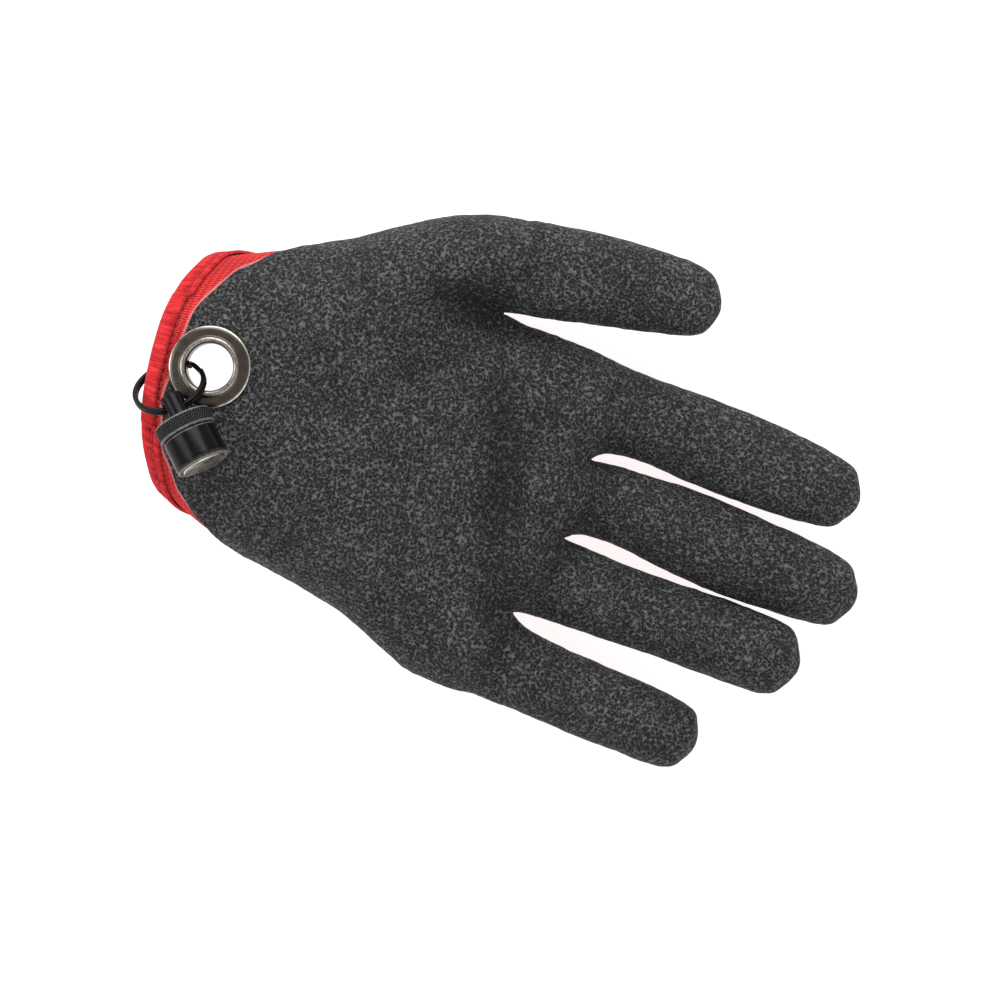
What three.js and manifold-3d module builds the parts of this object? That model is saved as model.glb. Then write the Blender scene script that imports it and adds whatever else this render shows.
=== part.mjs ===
// Dipped fishing glove for the left hand, seen palm up, with a grommet in the
// cuff, a split ring through it and a magnetic release on the ring.
// Millimetres. +X runs to the fingertips, +Y to the thumb, +Z out of the palm.
// The glove lies on the back of the hand, and Z = 0 is the surface under it.
import * as THREE from 'three';
import { mergeVertices } from 'three/addons/utils/BufferGeometryUtils.js';
import Module from 'manifold-3d';

const wasm = await Module();
wasm.setup();

// Driving dimensions
const PALM = 100; // grommet centre to the roots of the fingers
const WIDE = 100; // palm across the roots of the fingers
const DEPTH = 40; // heel of the palm to the back of the hand
const FINGER = 78; // root to tip of the middle finger
const KNIT = 1.2; // thickness of the knitted liner
const GAP = 0.3; // clearance between pieces
const COAT = 0.9; // thickness of the rubber coating
const EYELET_OD = 22.1;
const EYELET_BORE = 12.6;
const RING_RADIUS = 9.5; // split ring, to the middle of its wire
const RING_TILT = 52; // degrees between the ring and the cloth
const WIRE_WIDE = 1.3;
const WIRE_HIGH = 0.8;
const WIRE_PITCH = 0.95;
const COLLAR_OD = 16;
const CUP_OD = 14.8;
const STEM_OD = 6.2;
const TURNED_SIDES = 24; // facets round the turned metal pieces

// Stations along the hand from the cuff edge to the thumb's crotch: at and the
// heights of the section as shares of PALM and DEPTH, its edges as shares of WIDE.
// lean tips the section toward the wrist at the palm, and split moves it from one
// oval to thumb plus palm.
const TUCK = 0.73; // share of the lean on the back of the hand
const SKEW = 0.06; // how much of the lean goes to the thumb's side
const bodyRows = [
  { at: 0.01, lean: 0.96, thumb: 0.306, cleft: 0.195, little: -0.368, top: 0.9, back: 0.06, split: 0 },
  { at: 0.14, lean: 0.45, thumb: 0.37, cleft: 0.235, little: -0.436, top: 0.975, back: 0, split: 0 },
  { at: 0.32, lean: 0.12, thumb: 0.456, cleft: 0.285, little: -0.478, top: 1, back: -0.03, split: 0.2 },
  { at: 0.52, lean: 0, thumb: 0.566, cleft: 0.33, little: -0.531, top: 0.94, back: -0.03, split: 0.6 },
  { at: 0.705, lean: 0, thumb: 0.606, cleft: 0.356, little: -0.615, top: 0.83, back: -0.02, split: 1 },
];

// The thumb's lobe at the same stations: middle height and half thickness as
// shares of DEPTH, and the heights of the web beside it.
const thumbRows = [
  { mid: 0.45, half: 0.3, web: 0.9, under: 0.1 },
  { mid: 0.47, half: 0.35, web: 0.95, under: 0.1 },
  { mid: 0.54, half: 0.42, web: 0.9, under: 0.1 },
  { mid: 0.59, half: 0.4, web: 0.8, under: 0.15 },
  { mid: 0.6, half: 0.33, web: 0.64, under: 0.32 },
];

// Stations across the palm from the thumb's crotch to the roots of the fingers.
const palmRows = [
  { share: 0.34, index: 0.323, little: -0.63, top: 0.77, back: -0.01 },
  { share: 0.68, index: 0.318, little: -0.64, top: 0.77, back: 0.02 },
  { share: 1, index: 0.302, little: -0.635, top: 0.68, back: 0.08 },
];

// Roots: where the last palm station lies at each edge, crotch and finger, in
// order from the index finger's outer edge to the little finger's.
const rootRows = [
  { at: 1.02, across: 0.0 },
  { at: 1.06, across: 0.146 },
  { at: 1.035, across: 0.28 },
  { at: 1.06, across: 0.397 },
  { at: 1.025, across: 0.513 },
  { at: 1.015, across: 0.628 },
  { at: 0.95, across: 0.754 },
  { at: 0.945, across: 0.884 },
  { at: 0.92, across: 1.0 },
];

// Fingers: root and tip as shares of PALM and WIDE, and bow sideways as a share of
// FINGER.
const fingerRows = [
  { name: 'index', x0: 1.05, y0: 0.196, x1: 1.768, y1: 0.129, bow: 0.008 },
  { name: 'middle', x0: 1.055, y0: -0.046, x1: 1.834, y1: -0.125, bow: 0 },
  { name: 'ring', x0: 1.01, y0: -0.292, x1: 1.734, y1: -0.34, bow: 0 },
  { name: 'little', x0: 0.94, y0: -0.541, x1: 1.523, y1: -0.612, bow: -0.008 },
  { name: 'thumb', x0: 0.7, y0: 0.487, x1: 1.258, y1: 0.531, bow: 0.012 },
];
// Their widths at the four stations as shares of FINGER, and the heights of the
// middle line at root, half way and tip as shares of DEPTH.
const girthRows = [
  { root: 0.262, low: 0.272, high: 0.229, tip: 0.15, from: 0.37, middle: 0.38, to: 0.48 },
  { root: 0.232, low: 0.27, high: 0.231, tip: 0.15, from: 0.37, middle: 0.37, to: 0.46 },
  { root: 0.25, low: 0.235, high: 0.236, tip: 0.154, from: 0.37, middle: 0.38, to: 0.49 },
  { root: 0.252, low: 0.232, high: 0.212, tip: 0.142, from: 0.37, middle: 0.4, to: 0.52 },
  { root: 0.302, low: 0.278, high: 0.222, tip: 0.138, from: 0.6, middle: 0.61, to: 0.68 },
];
const fingerStations = [0.11, 0.48, 0.865, 0.965];
const THICK_SHARE = 0.86; // thickness of a finger over its width

// Folds and swellings of the palm side: place, length and width as shares of
// PALM, turn in degrees, and lift in millimetres.
const foldRows = [
  { name: 'thenar', x: 0.4, y: 0.3, long: 0.22, wide: 0.14, turn: 25, lift: 4.2 },
  { name: 'hypothenar', x: 0.4, y: -0.3, long: 0.26, wide: 0.14, turn: -8, lift: 2.6 },
  { name: 'hollow', x: 0.66, y: -0.1, long: 0.2, wide: 0.2, turn: 0, lift: -2.4 },
  { name: 'thenar crease', x: 0.5, y: 0.1, long: 0.26, wide: 0.045, turn: 38, lift: -1.6 },
  { name: 'thumb web', x: 0.66, y: 0.345, long: 0.16, wide: 0.05, turn: -6, lift: -2.2 },
  { name: 'finger crease', x: 0.86, y: -0.2, long: 0.4, wide: 0.045, turn: 104, lift: -1.8 },
  { name: 'index pad', x: 0.95, y: 0.2, long: 0.08, wide: 0.1, turn: 90, lift: 1.4 },
  { name: 'middle pad', x: 0.97, y: -0.05, long: 0.08, wide: 0.1, turn: 90, lift: 1.4 },
  { name: 'ring pad', x: 0.94, y: -0.29, long: 0.08, wide: 0.1, turn: 90, lift: 1.2 },
  { name: 'little pad', x: 0.88, y: -0.53, long: 0.08, wide: 0.1, turn: 90, lift: 1 },
];

// Edge of the coating: height of the dip line along the glove, as shares of PALM
// and DEPTH. It runs from the palm side of the cuff down round the hand.
const dipRows = [
  { at: -0.6, high: 1.9 },
  { at: -0.1, high: 0.93 },
  { at: 0, high: 0.79 },
  { at: 0.09, high: 0.68 },
  { at: 0.16, high: 0.55 },
  { at: 0.23, high: 0.48 },
  { at: 0.36, high: 0.38 },
  { at: 0.6, high: 0.28 },
  { at: 1.05, high: 0.28 },
  { at: 1.3, high: 0.3 },
];
// Where the dip wraps right round each finger, and the strip it applies to.
const wrapRows = [
  { name: 'thumb', from: 0.37, to: 0.8, wrap: 1.1, high: 0.42 },
  { name: 'index', from: 0.035, to: 0.38, wrap: 1.6, high: 0.3 },
  { name: 'middle', from: -0.2, to: 0.045, wrap: 1.66, high: 0.3 },
  { name: 'ring', from: -0.448, to: -0.19, wrap: 1.56, high: 0.3 },
  { name: 'little', from: -0.9, to: -0.438, wrap: 1.38, high: 0.3 },
];

// Hem round the cuff: how far it reaches up the cloth and how thick its two
// sides are, by the angle round the cuff from the palm side, in degrees.
const hemRows = [
  { angle: 0, reach: 2.6, outer: 1.7, inner: 1.2, nose: 1.1 },
  { angle: 50, reach: 3.2, outer: 1.3, inner: 1.1, nose: 1.1 },
  { angle: 95, reach: 5, outer: 0.8, inner: 0.8, nose: 0.8 },
  { angle: 180, reach: 5, outer: 0.8, inner: 0.8, nose: 0.8 },
];

const mix = THREE.MathUtils.lerp;
const rad = THREE.MathUtils.degToRad;
const V = (x, y, z) => new THREE.Vector3(x, y, z);

function ease(t) {
  const u = Math.min(1, Math.max(0, t));
  return u * u * (3 - 2 * u);
}

function readRows(rows, key, at, name) {
  if (at <= rows[0][key]) return rows[0][name];
  for (let i = 1; i < rows.length; i++) {
    if (at <= rows[i][key]) {
      const t = (at - rows[i - 1][key]) / (rows[i][key] - rows[i - 1][key]);
      return mix(rows[i - 1][name], rows[i][name], t);
    }
  }
  return rows[rows.length - 1][name];
}

function oval(s, power) {
  const u = Math.min(1, Math.abs(s));
  return Math.pow(1 - Math.pow(u, power), 1 / power);
}

// The cage: target points of the liner's outer surface, its four-sided faces, and
// the part of the knit that each face belongs to.
const points = [];
const quads = [];
const quadParts = [];

function put(p) {
  points.push(p);
  return points.length - 1;
}

function quad(part, a, b, c, d) {
  quads.push([a, b, c, d]);
  quadParts.push(part);
}

function tube(part, a, b) {
  const n = a.length;
  for (let j = 0; j < n; j++) {
    const k = (j + 1) % n;
    quad(part, a[j], a[k], b[k], b[j]);
  }
}

function cap(part, loop, centre) {
  quad(part, loop[0], loop[1], loop[2], centre);
  quad(part, loop[2], loop[3], loop[4], centre);
  quad(part, loop[4], loop[5], loop[0], centre);
}

const across = rootRows.map((row) => row.across);

function bodyLoop(row, lobe) {
  const yT = row.thumb * WIDE;
  const yC = row.cleft * WIDE;
  const yL = row.little * WIDE;
  const top = row.top * DEPTH;
  const back = row.back * DEPTH;
  const mid = (top + back) / 2;
  const half = (top - back) / 2;
  const centre = (yT + yL) / 2;
  const reach = (yT - yL) / 2;
  const lobeMid = (yT + yC) / 2;
  const lobeReach = (yT - yC) / 2;
  const palm = [];
  const under = [];
  for (let i = 0; i < 11; i++) {
    let y;
    if (i === 0) y = mix(centre + reach * 0.965, lobeMid + lobeReach * 0.866, row.split);
    else if (i === 1) y = lobeMid;
    else if (i < 10) y = mix(yC, yL, across[i - 2]);
    else y = mix(centre - reach * 0.965, yL + (yC - yL) * 0.015, row.split);
    const whole = oval((y - centre) / reach, 2.3) * half;
    let high = mid + whole;
    let low = mid - whole;
    if (i < 3) {
      const tz = lobe.mid * DEPTH;
      const th = lobe.half * DEPTH;
      const wave = i === 1 ? 1 : 0.5;
      const lobeHigh = i === 2 ? lobe.web * DEPTH : tz + th * wave;
      const lobeLow = i === 2 ? lobe.under * DEPTH : tz - th * wave;
      high = mix(high, lobeHigh, row.split);
      low = mix(low, lobeLow, row.split);
    } else {
      const own = oval((y - (yC + yL) / 2) / ((yC - yL) / 2), 2.3) * half;
      high = mix(high, mid + own, row.split);
      low = mix(low, mid - own, row.split);
    }
    const cleft = i === 2 ? row.split * row.split * 0.018 * PALM : 0;
    const x = row.at * PALM - cleft;
    palm.push(put(V(x - row.lean * (high - mid + SKEW * y), y, high)));
    under.push(put(V(x - row.lean * (TUCK * (low - mid) + SKEW * y), y, low)));
  }
  return [...palm, ...under.reverse()];
}

function palmLoop(row, x0) {
  const yI = row.index * WIDE;
  const yL = row.little * WIDE;
  const top = row.top * DEPTH;
  const back = row.back * DEPTH;
  const mid = (top + back) / 2;
  const half = (top - back) / 2;
  const palm = [];
  const under = [];
  for (let i = 0; i < 9; i++) {
    const s = mix(0.975, -0.975, across[i]);
    const y = (yI + yL) / 2 + (s * (yI - yL)) / 2;
    const h = oval(s, 2.6) * half;
    const x = mix(x0, rootRows[i].at * PALM, row.share);
    const dip = i === 2 || i === 4 || i === 6 ? row.share * row.share * 0.07 * DEPTH : 0;
    palm.push(put(V(x, y, mid + h - dip)));
    under.push(put(V(x, y, mid - h + dip * 0.5)));
  }
  return [...palm, ...under.reverse()];
}

function finger(row, girth, loop) {
  const start = V(row.x0 * PALM, row.y0 * WIDE, 0);
  const end = V(row.x1 * PALM, row.y1 * WIDE, 0);
  const along = end.clone().sub(start);
  const length = along.length();
  along.normalize();
  const side = V(-along.y, along.x, 0);
  const middle = (t) => {
    const p = start.clone().addScaledVector(along, length * t);
    p.addScaledVector(side, row.bow * FINGER * 4 * t * (1 - t));
    const ends = girth.from * (1 - t) * (1 - 2 * t) + girth.to * t * (2 * t - 1);
    p.z = DEPTH * (ends + girth.middle * 4 * t * (1 - t));
    return p;
  };
  const widths = [girth.root, girth.low, girth.high, girth.tip];
  let last = loop;
  fingerStations.forEach((t, k) => {
    const c = middle(t);
    const w = (widths[k] * FINGER) / 2;
    const h = w * THICK_SHARE;
    const ring = [30, 90, 150, 210, 270, 330].map((angle) => {
      const p = c.clone().addScaledVector(side, w * Math.cos(rad(angle)));
      p.z += h * Math.sin(rad(angle));
      return put(p);
    });
    tube(k === 0 ? 'hand' : row.name, last, ring);
    last = ring;
  });
  cap(row.name, last, put(middle(1)));
}

const bodyLoops = bodyRows.map((row, i) => bodyLoop(row, thumbRows[i]));
for (let i = 1; i < bodyLoops.length; i++) tube('hand', bodyLoops[i - 1], bodyLoops[i]);
const splitLoop = bodyLoops[bodyLoops.length - 1];
const thumbLoop = [...splitLoop.slice(0, 3), ...splitLoop.slice(19)];
let palmEdge = splitLoop.slice(2, 20);
const splitAt = bodyRows[bodyRows.length - 1].at * PALM;
for (const row of palmRows) {
  const next = palmLoop(row, splitAt);
  tube('hand', palmEdge, next);
  palmEdge = next;
}
for (let k = 0; k < 4; k++) {
  const a = 2 * k;
  const b = 17 - 2 * k;
  const loop = [...palmEdge.slice(a, a + 3), ...palmEdge.slice(b - 2, b + 1)];
  finger(fingerRows[k], girthRows[k], loop);
}
finger(fingerRows[4], girthRows[4], thumbLoop);

// Smooth surface through the targets: the cage is fitted until its limit surface
// passes through them, then subdivided once and its points moved to the limit.
function topology(count, faces) {
  const edges = new Map();
  const ring = Array.from({ length: count }, () => ({ edges: [], faces: [] }));
  faces.forEach((face, f) => {
    face.forEach((a, j) => {
      const b = face[(j + 1) % 4];
      ring[a].faces.push(f);
      const key = a < b ? `${a},${b}` : `${b},${a}`;
      if (!edges.has(key)) edges.set(key, { a, b, faces: [] });
      edges.get(key).faces.push(f);
    });
  });
  for (const edge of edges.values()) {
    ring[edge.a].edges.push(edge);
    ring[edge.b].edges.push(edge);
  }
  return { edges: [...edges.values()], ring };
}

function limitPoints(p, faces, topo) {
  return p.map((own, i) => {
    const ring = topo.ring[i];
    const rim = ring.edges.filter((e) => e.faces.length === 1);
    const out = V(0, 0, 0);
    if (rim.length) {
      out.addScaledVector(own, 4);
      for (const e of rim) out.add(p[e.a === i ? e.b : e.a]);
      return out.divideScalar(6);
    }
    const n = ring.edges.length;
    out.addScaledVector(own, n * n);
    for (const e of ring.edges) out.addScaledVector(p[e.a === i ? e.b : e.a], 4);
    for (const f of ring.faces) {
      const face = faces[f];
      out.add(p[face[(face.indexOf(i) + 2) % 4]]);
    }
    return out.divideScalar(n * (n + 5));
  });
}

function subdivide(p, faces, topo) {
  const out = [];
  const facePoint = faces.map((face) => {
    const c = V(0, 0, 0);
    for (const i of face) c.add(p[i]);
    return c.divideScalar(4);
  });
  p.forEach((own, i) => {
    const ring = topo.ring[i];
    const rim = ring.edges.filter((e) => e.faces.length === 1);
    const q = V(0, 0, 0);
    if (rim.length) {
      q.addScaledVector(own, 6);
      for (const e of rim) q.add(p[e.a === i ? e.b : e.a]);
      out.push(q.divideScalar(8));
      return;
    }
    const n = ring.edges.length;
    for (const f of ring.faces) q.addScaledVector(facePoint[f], 1 / n);
    for (const e of ring.edges) q.addScaledVector(p[e.a].clone().add(p[e.b]), 1 / n);
    q.addScaledVector(own, n - 3);
    out.push(q.divideScalar(n));
  });
  const edgeAt = new Map();
  for (const e of topo.edges) {
    const q = p[e.a].clone().add(p[e.b]);
    if (e.faces.length === 1) q.divideScalar(2);
    else q.add(facePoint[e.faces[0]]).add(facePoint[e.faces[1]]).divideScalar(4);
    edgeAt.set(`${e.a},${e.b}`, out.length);
    edgeAt.set(`${e.b},${e.a}`, out.length);
    out.push(q);
  }
  const faceStart = out.length;
  out.push(...facePoint);
  const next = [];
  faces.forEach((face, f) => {
    face.forEach((a, j) => {
      const b = face[(j + 1) % 4];
      const d = face[(j + 3) % 4];
      next.push([a, edgeAt.get(`${a},${b}`), faceStart + f, edgeAt.get(`${d},${a}`)]);
    });
  });
  return { points: out, faces: next };
}

const cageTopo = topology(points.length, quads);
let cage = points.map((p) => p.clone());
for (let round = 0; round < 30; round++) {
  const limit = limitPoints(cage, quads, cageTopo);
  cage = cage.map((p, i) => p.add(points[i]).sub(limit[i]));
}
const fine = subdivide(cage, quads, cageTopo);
const fineTopo = topology(fine.points.length, fine.faces);
const skin = limitPoints(fine.points, fine.faces, fineTopo);

// Flat seat for the grommet on the palm side of the cuff.
const SEAT_SLOPE = 7; // degrees that the cloth rises toward the fingers
const SEAT_HIGH = 0.955 * DEPTH;
const seatNormal = V(-Math.sin(rad(SEAT_SLOPE)), 0, Math.cos(rad(SEAT_SLOPE)));
const SEAT_FLAT = 11.2;
const SEAT_BLEND = 8;

function seatShare(p) {
  if (p.z < DEPTH / 2) return 0;
  return 1 - ease((Math.hypot(p.x, p.y) - SEAT_FLAT) / SEAT_BLEND);
}

function foldLift(p) {
  let lift = 0;
  for (const row of foldRows) {
    const dx = p.x / PALM - row.x;
    const dy = p.y / PALM - row.y;
    const c = Math.cos(rad(row.turn));
    const s = Math.sin(rad(row.turn));
    const u = (dx * c + dy * s) / row.long;
    const v = (dy * c - dx * s) / row.wide;
    lift += row.lift * Math.exp(-u * u * u * u - v * v);
  }
  return lift;
}

function normalsOf(p, faces) {
  const out = p.map(() => V(0, 0, 0));
  for (const face of faces) {
    const d1 = p[face[2]].clone().sub(p[face[0]]);
    const d2 = p[face[3]].clone().sub(p[face[1]]);
    const n = d1.cross(d2);
    for (const i of face) out[i].add(n);
  }
  return out.map((n) => n.normalize());
}

// The two walls of the narrow cleft beside the thumb keep room for their coating.
const CLEFT = { x: 0.7, y: 0.357, long: 0.1, half: 0.019 };
for (const p of skin) {
  const dx = p.x / PALM - CLEFT.x;
  const dy = p.y / PALM - CLEFT.y;
  if (dx > 0.006 && dx < CLEFT.long && Math.abs(dy) < CLEFT.half) {
    p.y = (CLEFT.y + Math.sign(dy) * CLEFT.half) * PALM;
  }
}

let normals = normalsOf(skin, fine.faces);
skin.forEach((p, i) => {
  if (p.x < 1.2 * PALM) p.z += foldLift(p) * ease((normals[i].z - 0.1) / 0.7);
  const share = seatShare(p);
  if (share > 0) {
    const flat = SEAT_HIGH + p.x * Math.tan(rad(SEAT_SLOPE));
    p.z = mix(p.z, flat, share);
  }
  if (p.z < 0.35) p.z = 0;
});
normals = normalsOf(skin, fine.faces);
normals.forEach((n, i) => {
  n.lerp(seatNormal, seatShare(skin[i])).normalize();
});

// Offsets grow a little where the faces at a point turn away from its normal, so
// that walls and gaps keep their size between the points.
const slopeAt = skin.map(() => 1);
for (const face of fine.faces) {
  for (const [a, b, c] of [[0, 1, 2], [0, 2, 3]]) {
    const u = skin[face[b]].clone().sub(skin[face[a]]);
    const w = skin[face[c]].clone().sub(skin[face[a]]);
    const n = u.cross(w).normalize();
    for (const k of [a, b, c]) slopeAt[face[k]] = Math.min(slopeAt[face[k]], n.dot(normals[face[k]]));
  }
}
const offsets = normals.map((n, i) => {
  const stretch = mix(1 / Math.max(0.7, slopeAt[i]), 1, seatShare(skin[i]));
  return n.clone().multiplyScalar(stretch);
});

// Edges that only one of the faces has, in the order in which it goes round them.
function openEdges(faces) {
  const open = new Map();
  for (const face of faces) {
    face.forEach((a, j) => {
      const b = face[(j + 1) % 4];
      const key = a < b ? `${a},${b}` : `${b},${a}`;
      open.set(key, open.has(key) ? null : [a, b]);
    });
  }
  return [...open.values()].filter((edge) => edge);
}

const rimEdges = openEdges(fine.faces);
const rimSet = new Set(rimEdges.flat());
const faceParts = fine.faces.map((unused, f) => quadParts[Math.floor(f / 4)]);

function solidOf(vertices, triangles) {
  const vertProperties = new Float32Array(vertices.flatMap((p) => [p.x, p.y, p.z]));
  const triVerts = new Uint32Array(triangles.flat());
  return new wasm.Manifold(new wasm.Mesh({ numProp: 3, vertProperties, triVerts }));
}

// A wall between two offsets of the skin. Where its faces stop inside the glove,
// the wall keeps half a gap back from that edge.
function layer(outer, inner, faces = fine.faces) {
  const open = openEdges(faces);
  const cut = new Set(open.flat().filter((i) => !rimSet.has(i)));
  const at = skin.map((p) => p.clone());
  for (const face of faces) {
    face.forEach((a, j) => {
      for (const b of [face[(j + 1) % 4], face[(j + 3) % 4]]) {
        if (!cut.has(a) || cut.has(b)) continue;
        const back = skin[b].clone().sub(skin[a]).setLength(GAP / 2);
        at[a] = skin[a].clone().add(back);
      }
    });
  }
  const n = skin.length;
  const vertices = [];
  for (const offset of [outer, inner]) {
    at.forEach((p, i) => vertices.push(p.clone().addScaledVector(offsets[i], offset)));
  }
  const triangles = [];
  for (const [a, b, c, d] of faces) {
    triangles.push([a, b, c], [a, c, d]);
    triangles.push([a + n, c + n, b + n], [a + n, d + n, c + n]);
  }
  for (const [a, b] of open) triangles.push([b, a, a + n], [b, a + n, b + n]);
  return solidOf(vertices, triangles);
}

// Closed solid of revolution about an axis: profile is a loop of [radius, height].
function revolve(profile, segments, base, axis, ripple = null) {
  const q = new THREE.Quaternion().setFromUnitVectors(V(0, 0, 1), axis.clone().normalize());
  const vertices = [];
  const index = profile.map(([r, h], k) => {
    const ring = [];
    const count = r < 1e-6 ? 1 : segments;
    for (let i = 0; i < count; i++) {
      const a = (i / segments) * Math.PI * 2;
      const rr = ripple ? ripple(r, k, i) : r;
      vertices.push(V(rr * Math.cos(a), rr * Math.sin(a), h).applyQuaternion(q).add(base));
      ring.push(vertices.length - 1);
    }
    return ring;
  });
  const triangles = [];
  profile.forEach((unused, k) => {
    const a = index[k];
    const b = index[(k + 1) % profile.length];
    if (a.length === 1 && b.length === 1) return;
    for (let i = 0; i < segments; i++) {
      const j = (i + 1) % segments;
      if (a.length === 1) triangles.push([a[0], b[j], b[i]]);
      else if (b.length === 1) triangles.push([a[i], a[j], b[0]]);
      else triangles.push([a[i], a[j], b[j]], [a[i], b[j], b[i]]);
    }
  });
  return solidOf(vertices, triangles);
}

// Loops joined one after the other and closed at both ends.
function sweep(loops, closed) {
  const n = loops[0].length;
  const vertices = loops.flat();
  const triangles = [];
  const last = closed ? loops.length : loops.length - 1;
  for (let k = 0; k < last; k++) {
    const a = k * n;
    const b = ((k + 1) % loops.length) * n;
    for (let i = 0; i < n; i++) {
      const j = (i + 1) % n;
      triangles.push([a + i, a + j, b + j], [a + i, b + j, b + i]);
    }
  }
  if (!closed) {
    const end = (loops.length - 1) * n;
    for (let i = 1; i < n - 1; i++) {
      triangles.push([0, i + 1, i], [end, end + i, end + i + 1]);
    }
  }
  return solidOf(vertices, triangles);
}

function prism(profile, y0, y1) {
  const near = profile.map(([x, z]) => V(x, y0, z));
  const far = profile.map(([x, z]) => V(x, y1, z));
  const shape = THREE.ShapeUtils.triangulateShape(profile.map(([x, z]) => new THREE.Vector2(x, z)), []);
  const n = profile.length;
  const triangles = [];
  for (const [a, b, c] of shape) triangles.push([a, b, c], [a + n, c + n, b + n]);
  for (let i = 0; i < n; i++) {
    const j = (i + 1) % n;
    triangles.push([i, i + n, j + n], [i, j + n, j]);
  }
  return solidOf([...near, ...far], triangles);
}

const seat = V(0, 0, SEAT_HIGH);
const bore = (r) => revolve([[0, -14], [r, -14], [r, 14], [0, 14]], 32, seat, seatNormal);

// Knitted liner: the hand, and a tube for each finger
function knitPart(part) {
  return layer(0, -KNIT, fine.faces.filter((unused, f) => faceParts[f] === part));
}

const liner = knitPart('hand').subtract(bore(EYELET_BORE / 2 + 0.8 + GAP));
const fingerKnits = fingerRows.map((row) => [`${row.name}_knit`, knitPart(row.name), 'knit']);

// Rubber coating, kept above the dip line and right round the ends of the fingers
let dipped = null;
for (const row of wrapRows) {
  const line = [];
  for (const d of dipRows) {
    if (d.at > row.wrap - 0.06) break;
    const grown = ease((d.at - 0.45) / 0.4) * (d.at > 0.5 ? 1 : 0);
    const high = mix(d.high, row.high, row.name === 'thumb' ? grown : grown * 0.5);
    line.push([d.at * PALM, high * DEPTH]);
  }
  line.push([(row.wrap - 0.05) * PALM, row.high * DEPTH]);
  line.push([row.wrap * PALM, 0.1 * DEPTH]);
  line.push([(row.wrap + 0.03) * PALM, -DEPTH]);
  line.push([2.2 * PALM, -DEPTH], [2.2 * PALM, 3 * DEPTH], [-0.6 * PALM, 3 * DEPTH]);
  const strip = prism(line, row.from * WIDE, row.to * WIDE);
  dipped = dipped ? dipped.add(strip) : strip;
}
const coating = layer(GAP + COAT, GAP).intersect(dipped).subtract(bore(EYELET_BORE / 2 + 0.8 + GAP));

// Hem folded over the cuff edge
const rimNext = new Map(rimEdges);
const rimLoop = [rimEdges[0][0]];
while (rimLoop.length < rimEdges.length) rimLoop.push(rimNext.get(rimLoop[rimLoop.length - 1]));
const hemMid = rimLoop.reduce((sum, i) => sum.add(skin[i]), V(0, 0, 0)).divideScalar(rimLoop.length);
const hemLoops = rimLoop.map((i) => {
  const own = skin[i];
  const inward = fineTopo.ring[i].edges.map((e) => (e.a === i ? e.b : e.a)).find((j) => !rimSet.has(j));
  const n = normals[i];
  const lining = own.clone().addScaledVector(offsets[i], -KNIT);
  const upOut = skin[inward].clone().sub(own).normalize();
  const upIn = skin[inward].clone().addScaledVector(offsets[inward], -KNIT).sub(lining).normalize();
  const angle = THREE.MathUtils.radToDeg(Math.abs(Math.atan2(own.y - hemMid.y, own.z - hemMid.z)));
  const hemNow = (name) => readRows(hemRows, 'angle', angle, name);
  const reach = hemNow('reach');
  const outer = hemNow('outer');
  const inner = hemNow('inner');
  const nose = hemNow('nose');
  const a = GAP + 0.2;
  const outside = [
    [-a, a],
    [reach, a],
    [reach - 0.7, a + outer * 0.8],
    [reach * 0.3, a + outer],
    [-a - nose * 0.6, a + outer * 0.5],
    [-a - nose, -KNIT / 2],
  ];
  const inside = [
    [-a - nose * 0.6, -a - inner * 0.5],
    [reach * 0.4, -a - inner],
    [reach, -a],
    [-a, -a],
  ];
  return [
    ...outside.map(([s, t]) => own.clone().addScaledVector(upOut, s).addScaledVector(n, t)),
    ...inside.map(([s, t]) => lining.clone().addScaledVector(upIn, s).addScaledVector(n, t)),
  ];
});
const hem = sweep(hemLoops, true);

// Grommet: a domed flange and barrel outside, a flat washer inside the cuff
const e0 = EYELET_BORE / 2;
const f0 = COAT + 2 * GAP;
const eyelet = revolve(
  [
    [e0, -KNIT - GAP - 0.8],
    [e0 + 0.75, -KNIT - GAP - 0.8],
    [e0 + 0.75, f0],
    [EYELET_OD / 2, f0],
    [EYELET_OD / 2, f0 + 0.5],
    [EYELET_OD / 2 - 1.1, f0 + 1.35],
    [EYELET_OD / 2 - 2.6, f0 + 1.6],
    [e0 + 0.9, f0 + 1.35],
    [e0 + 0.2, f0 + 0.8],
    [e0, f0],
  ],
  TURNED_SIDES,
  seat,
  seatNormal,
);
const w0 = -KNIT - GAP - 0.15;
const washer = revolve(
  [
    [e0 + 0.75 + GAP, w0 - 0.6],
    [EYELET_OD / 2 - 0.6, w0 - 0.6],
    [EYELET_OD / 2 - 0.6, w0],
    [e0 + 0.75 + GAP, w0],
  ],
  TURNED_SIDES,
  seat,
  seatNormal,
);

// Split ring: two turns of flat wire with a crossover where both ends stop
const RING_X = -9.0;
const RING_Y = -8.2;
const RING_HIGH = 0.6; // ring centre above the cloth at the grommet
const ringCentre = V(RING_X, RING_Y, SEAT_HIGH + RING_HIGH);
const ringE = V(-0.806, -0.592, 0).normalize();
const ringFlat = V(0.592, -0.806, 0).normalize();
const ringF = ringFlat.clone().multiplyScalar(Math.cos(rad(RING_TILT)));
ringF.z = Math.sin(rad(RING_TILT));
const ringAxis = ringE.clone().cross(ringF).normalize();
const RING_STOP = 14; // degrees from the crossover to each end of the wire
const RING_CROSS = 205; // where round the ring the crossover is

function ringPoint(angle, dr, dh) {
  const p = ringCentre.clone();
  p.addScaledVector(ringE, (RING_RADIUS + dr) * Math.cos(rad(angle)));
  p.addScaledVector(ringF, (RING_RADIUS + dr) * Math.sin(rad(angle)));
  return p.addScaledVector(ringAxis, dh);
}

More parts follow.
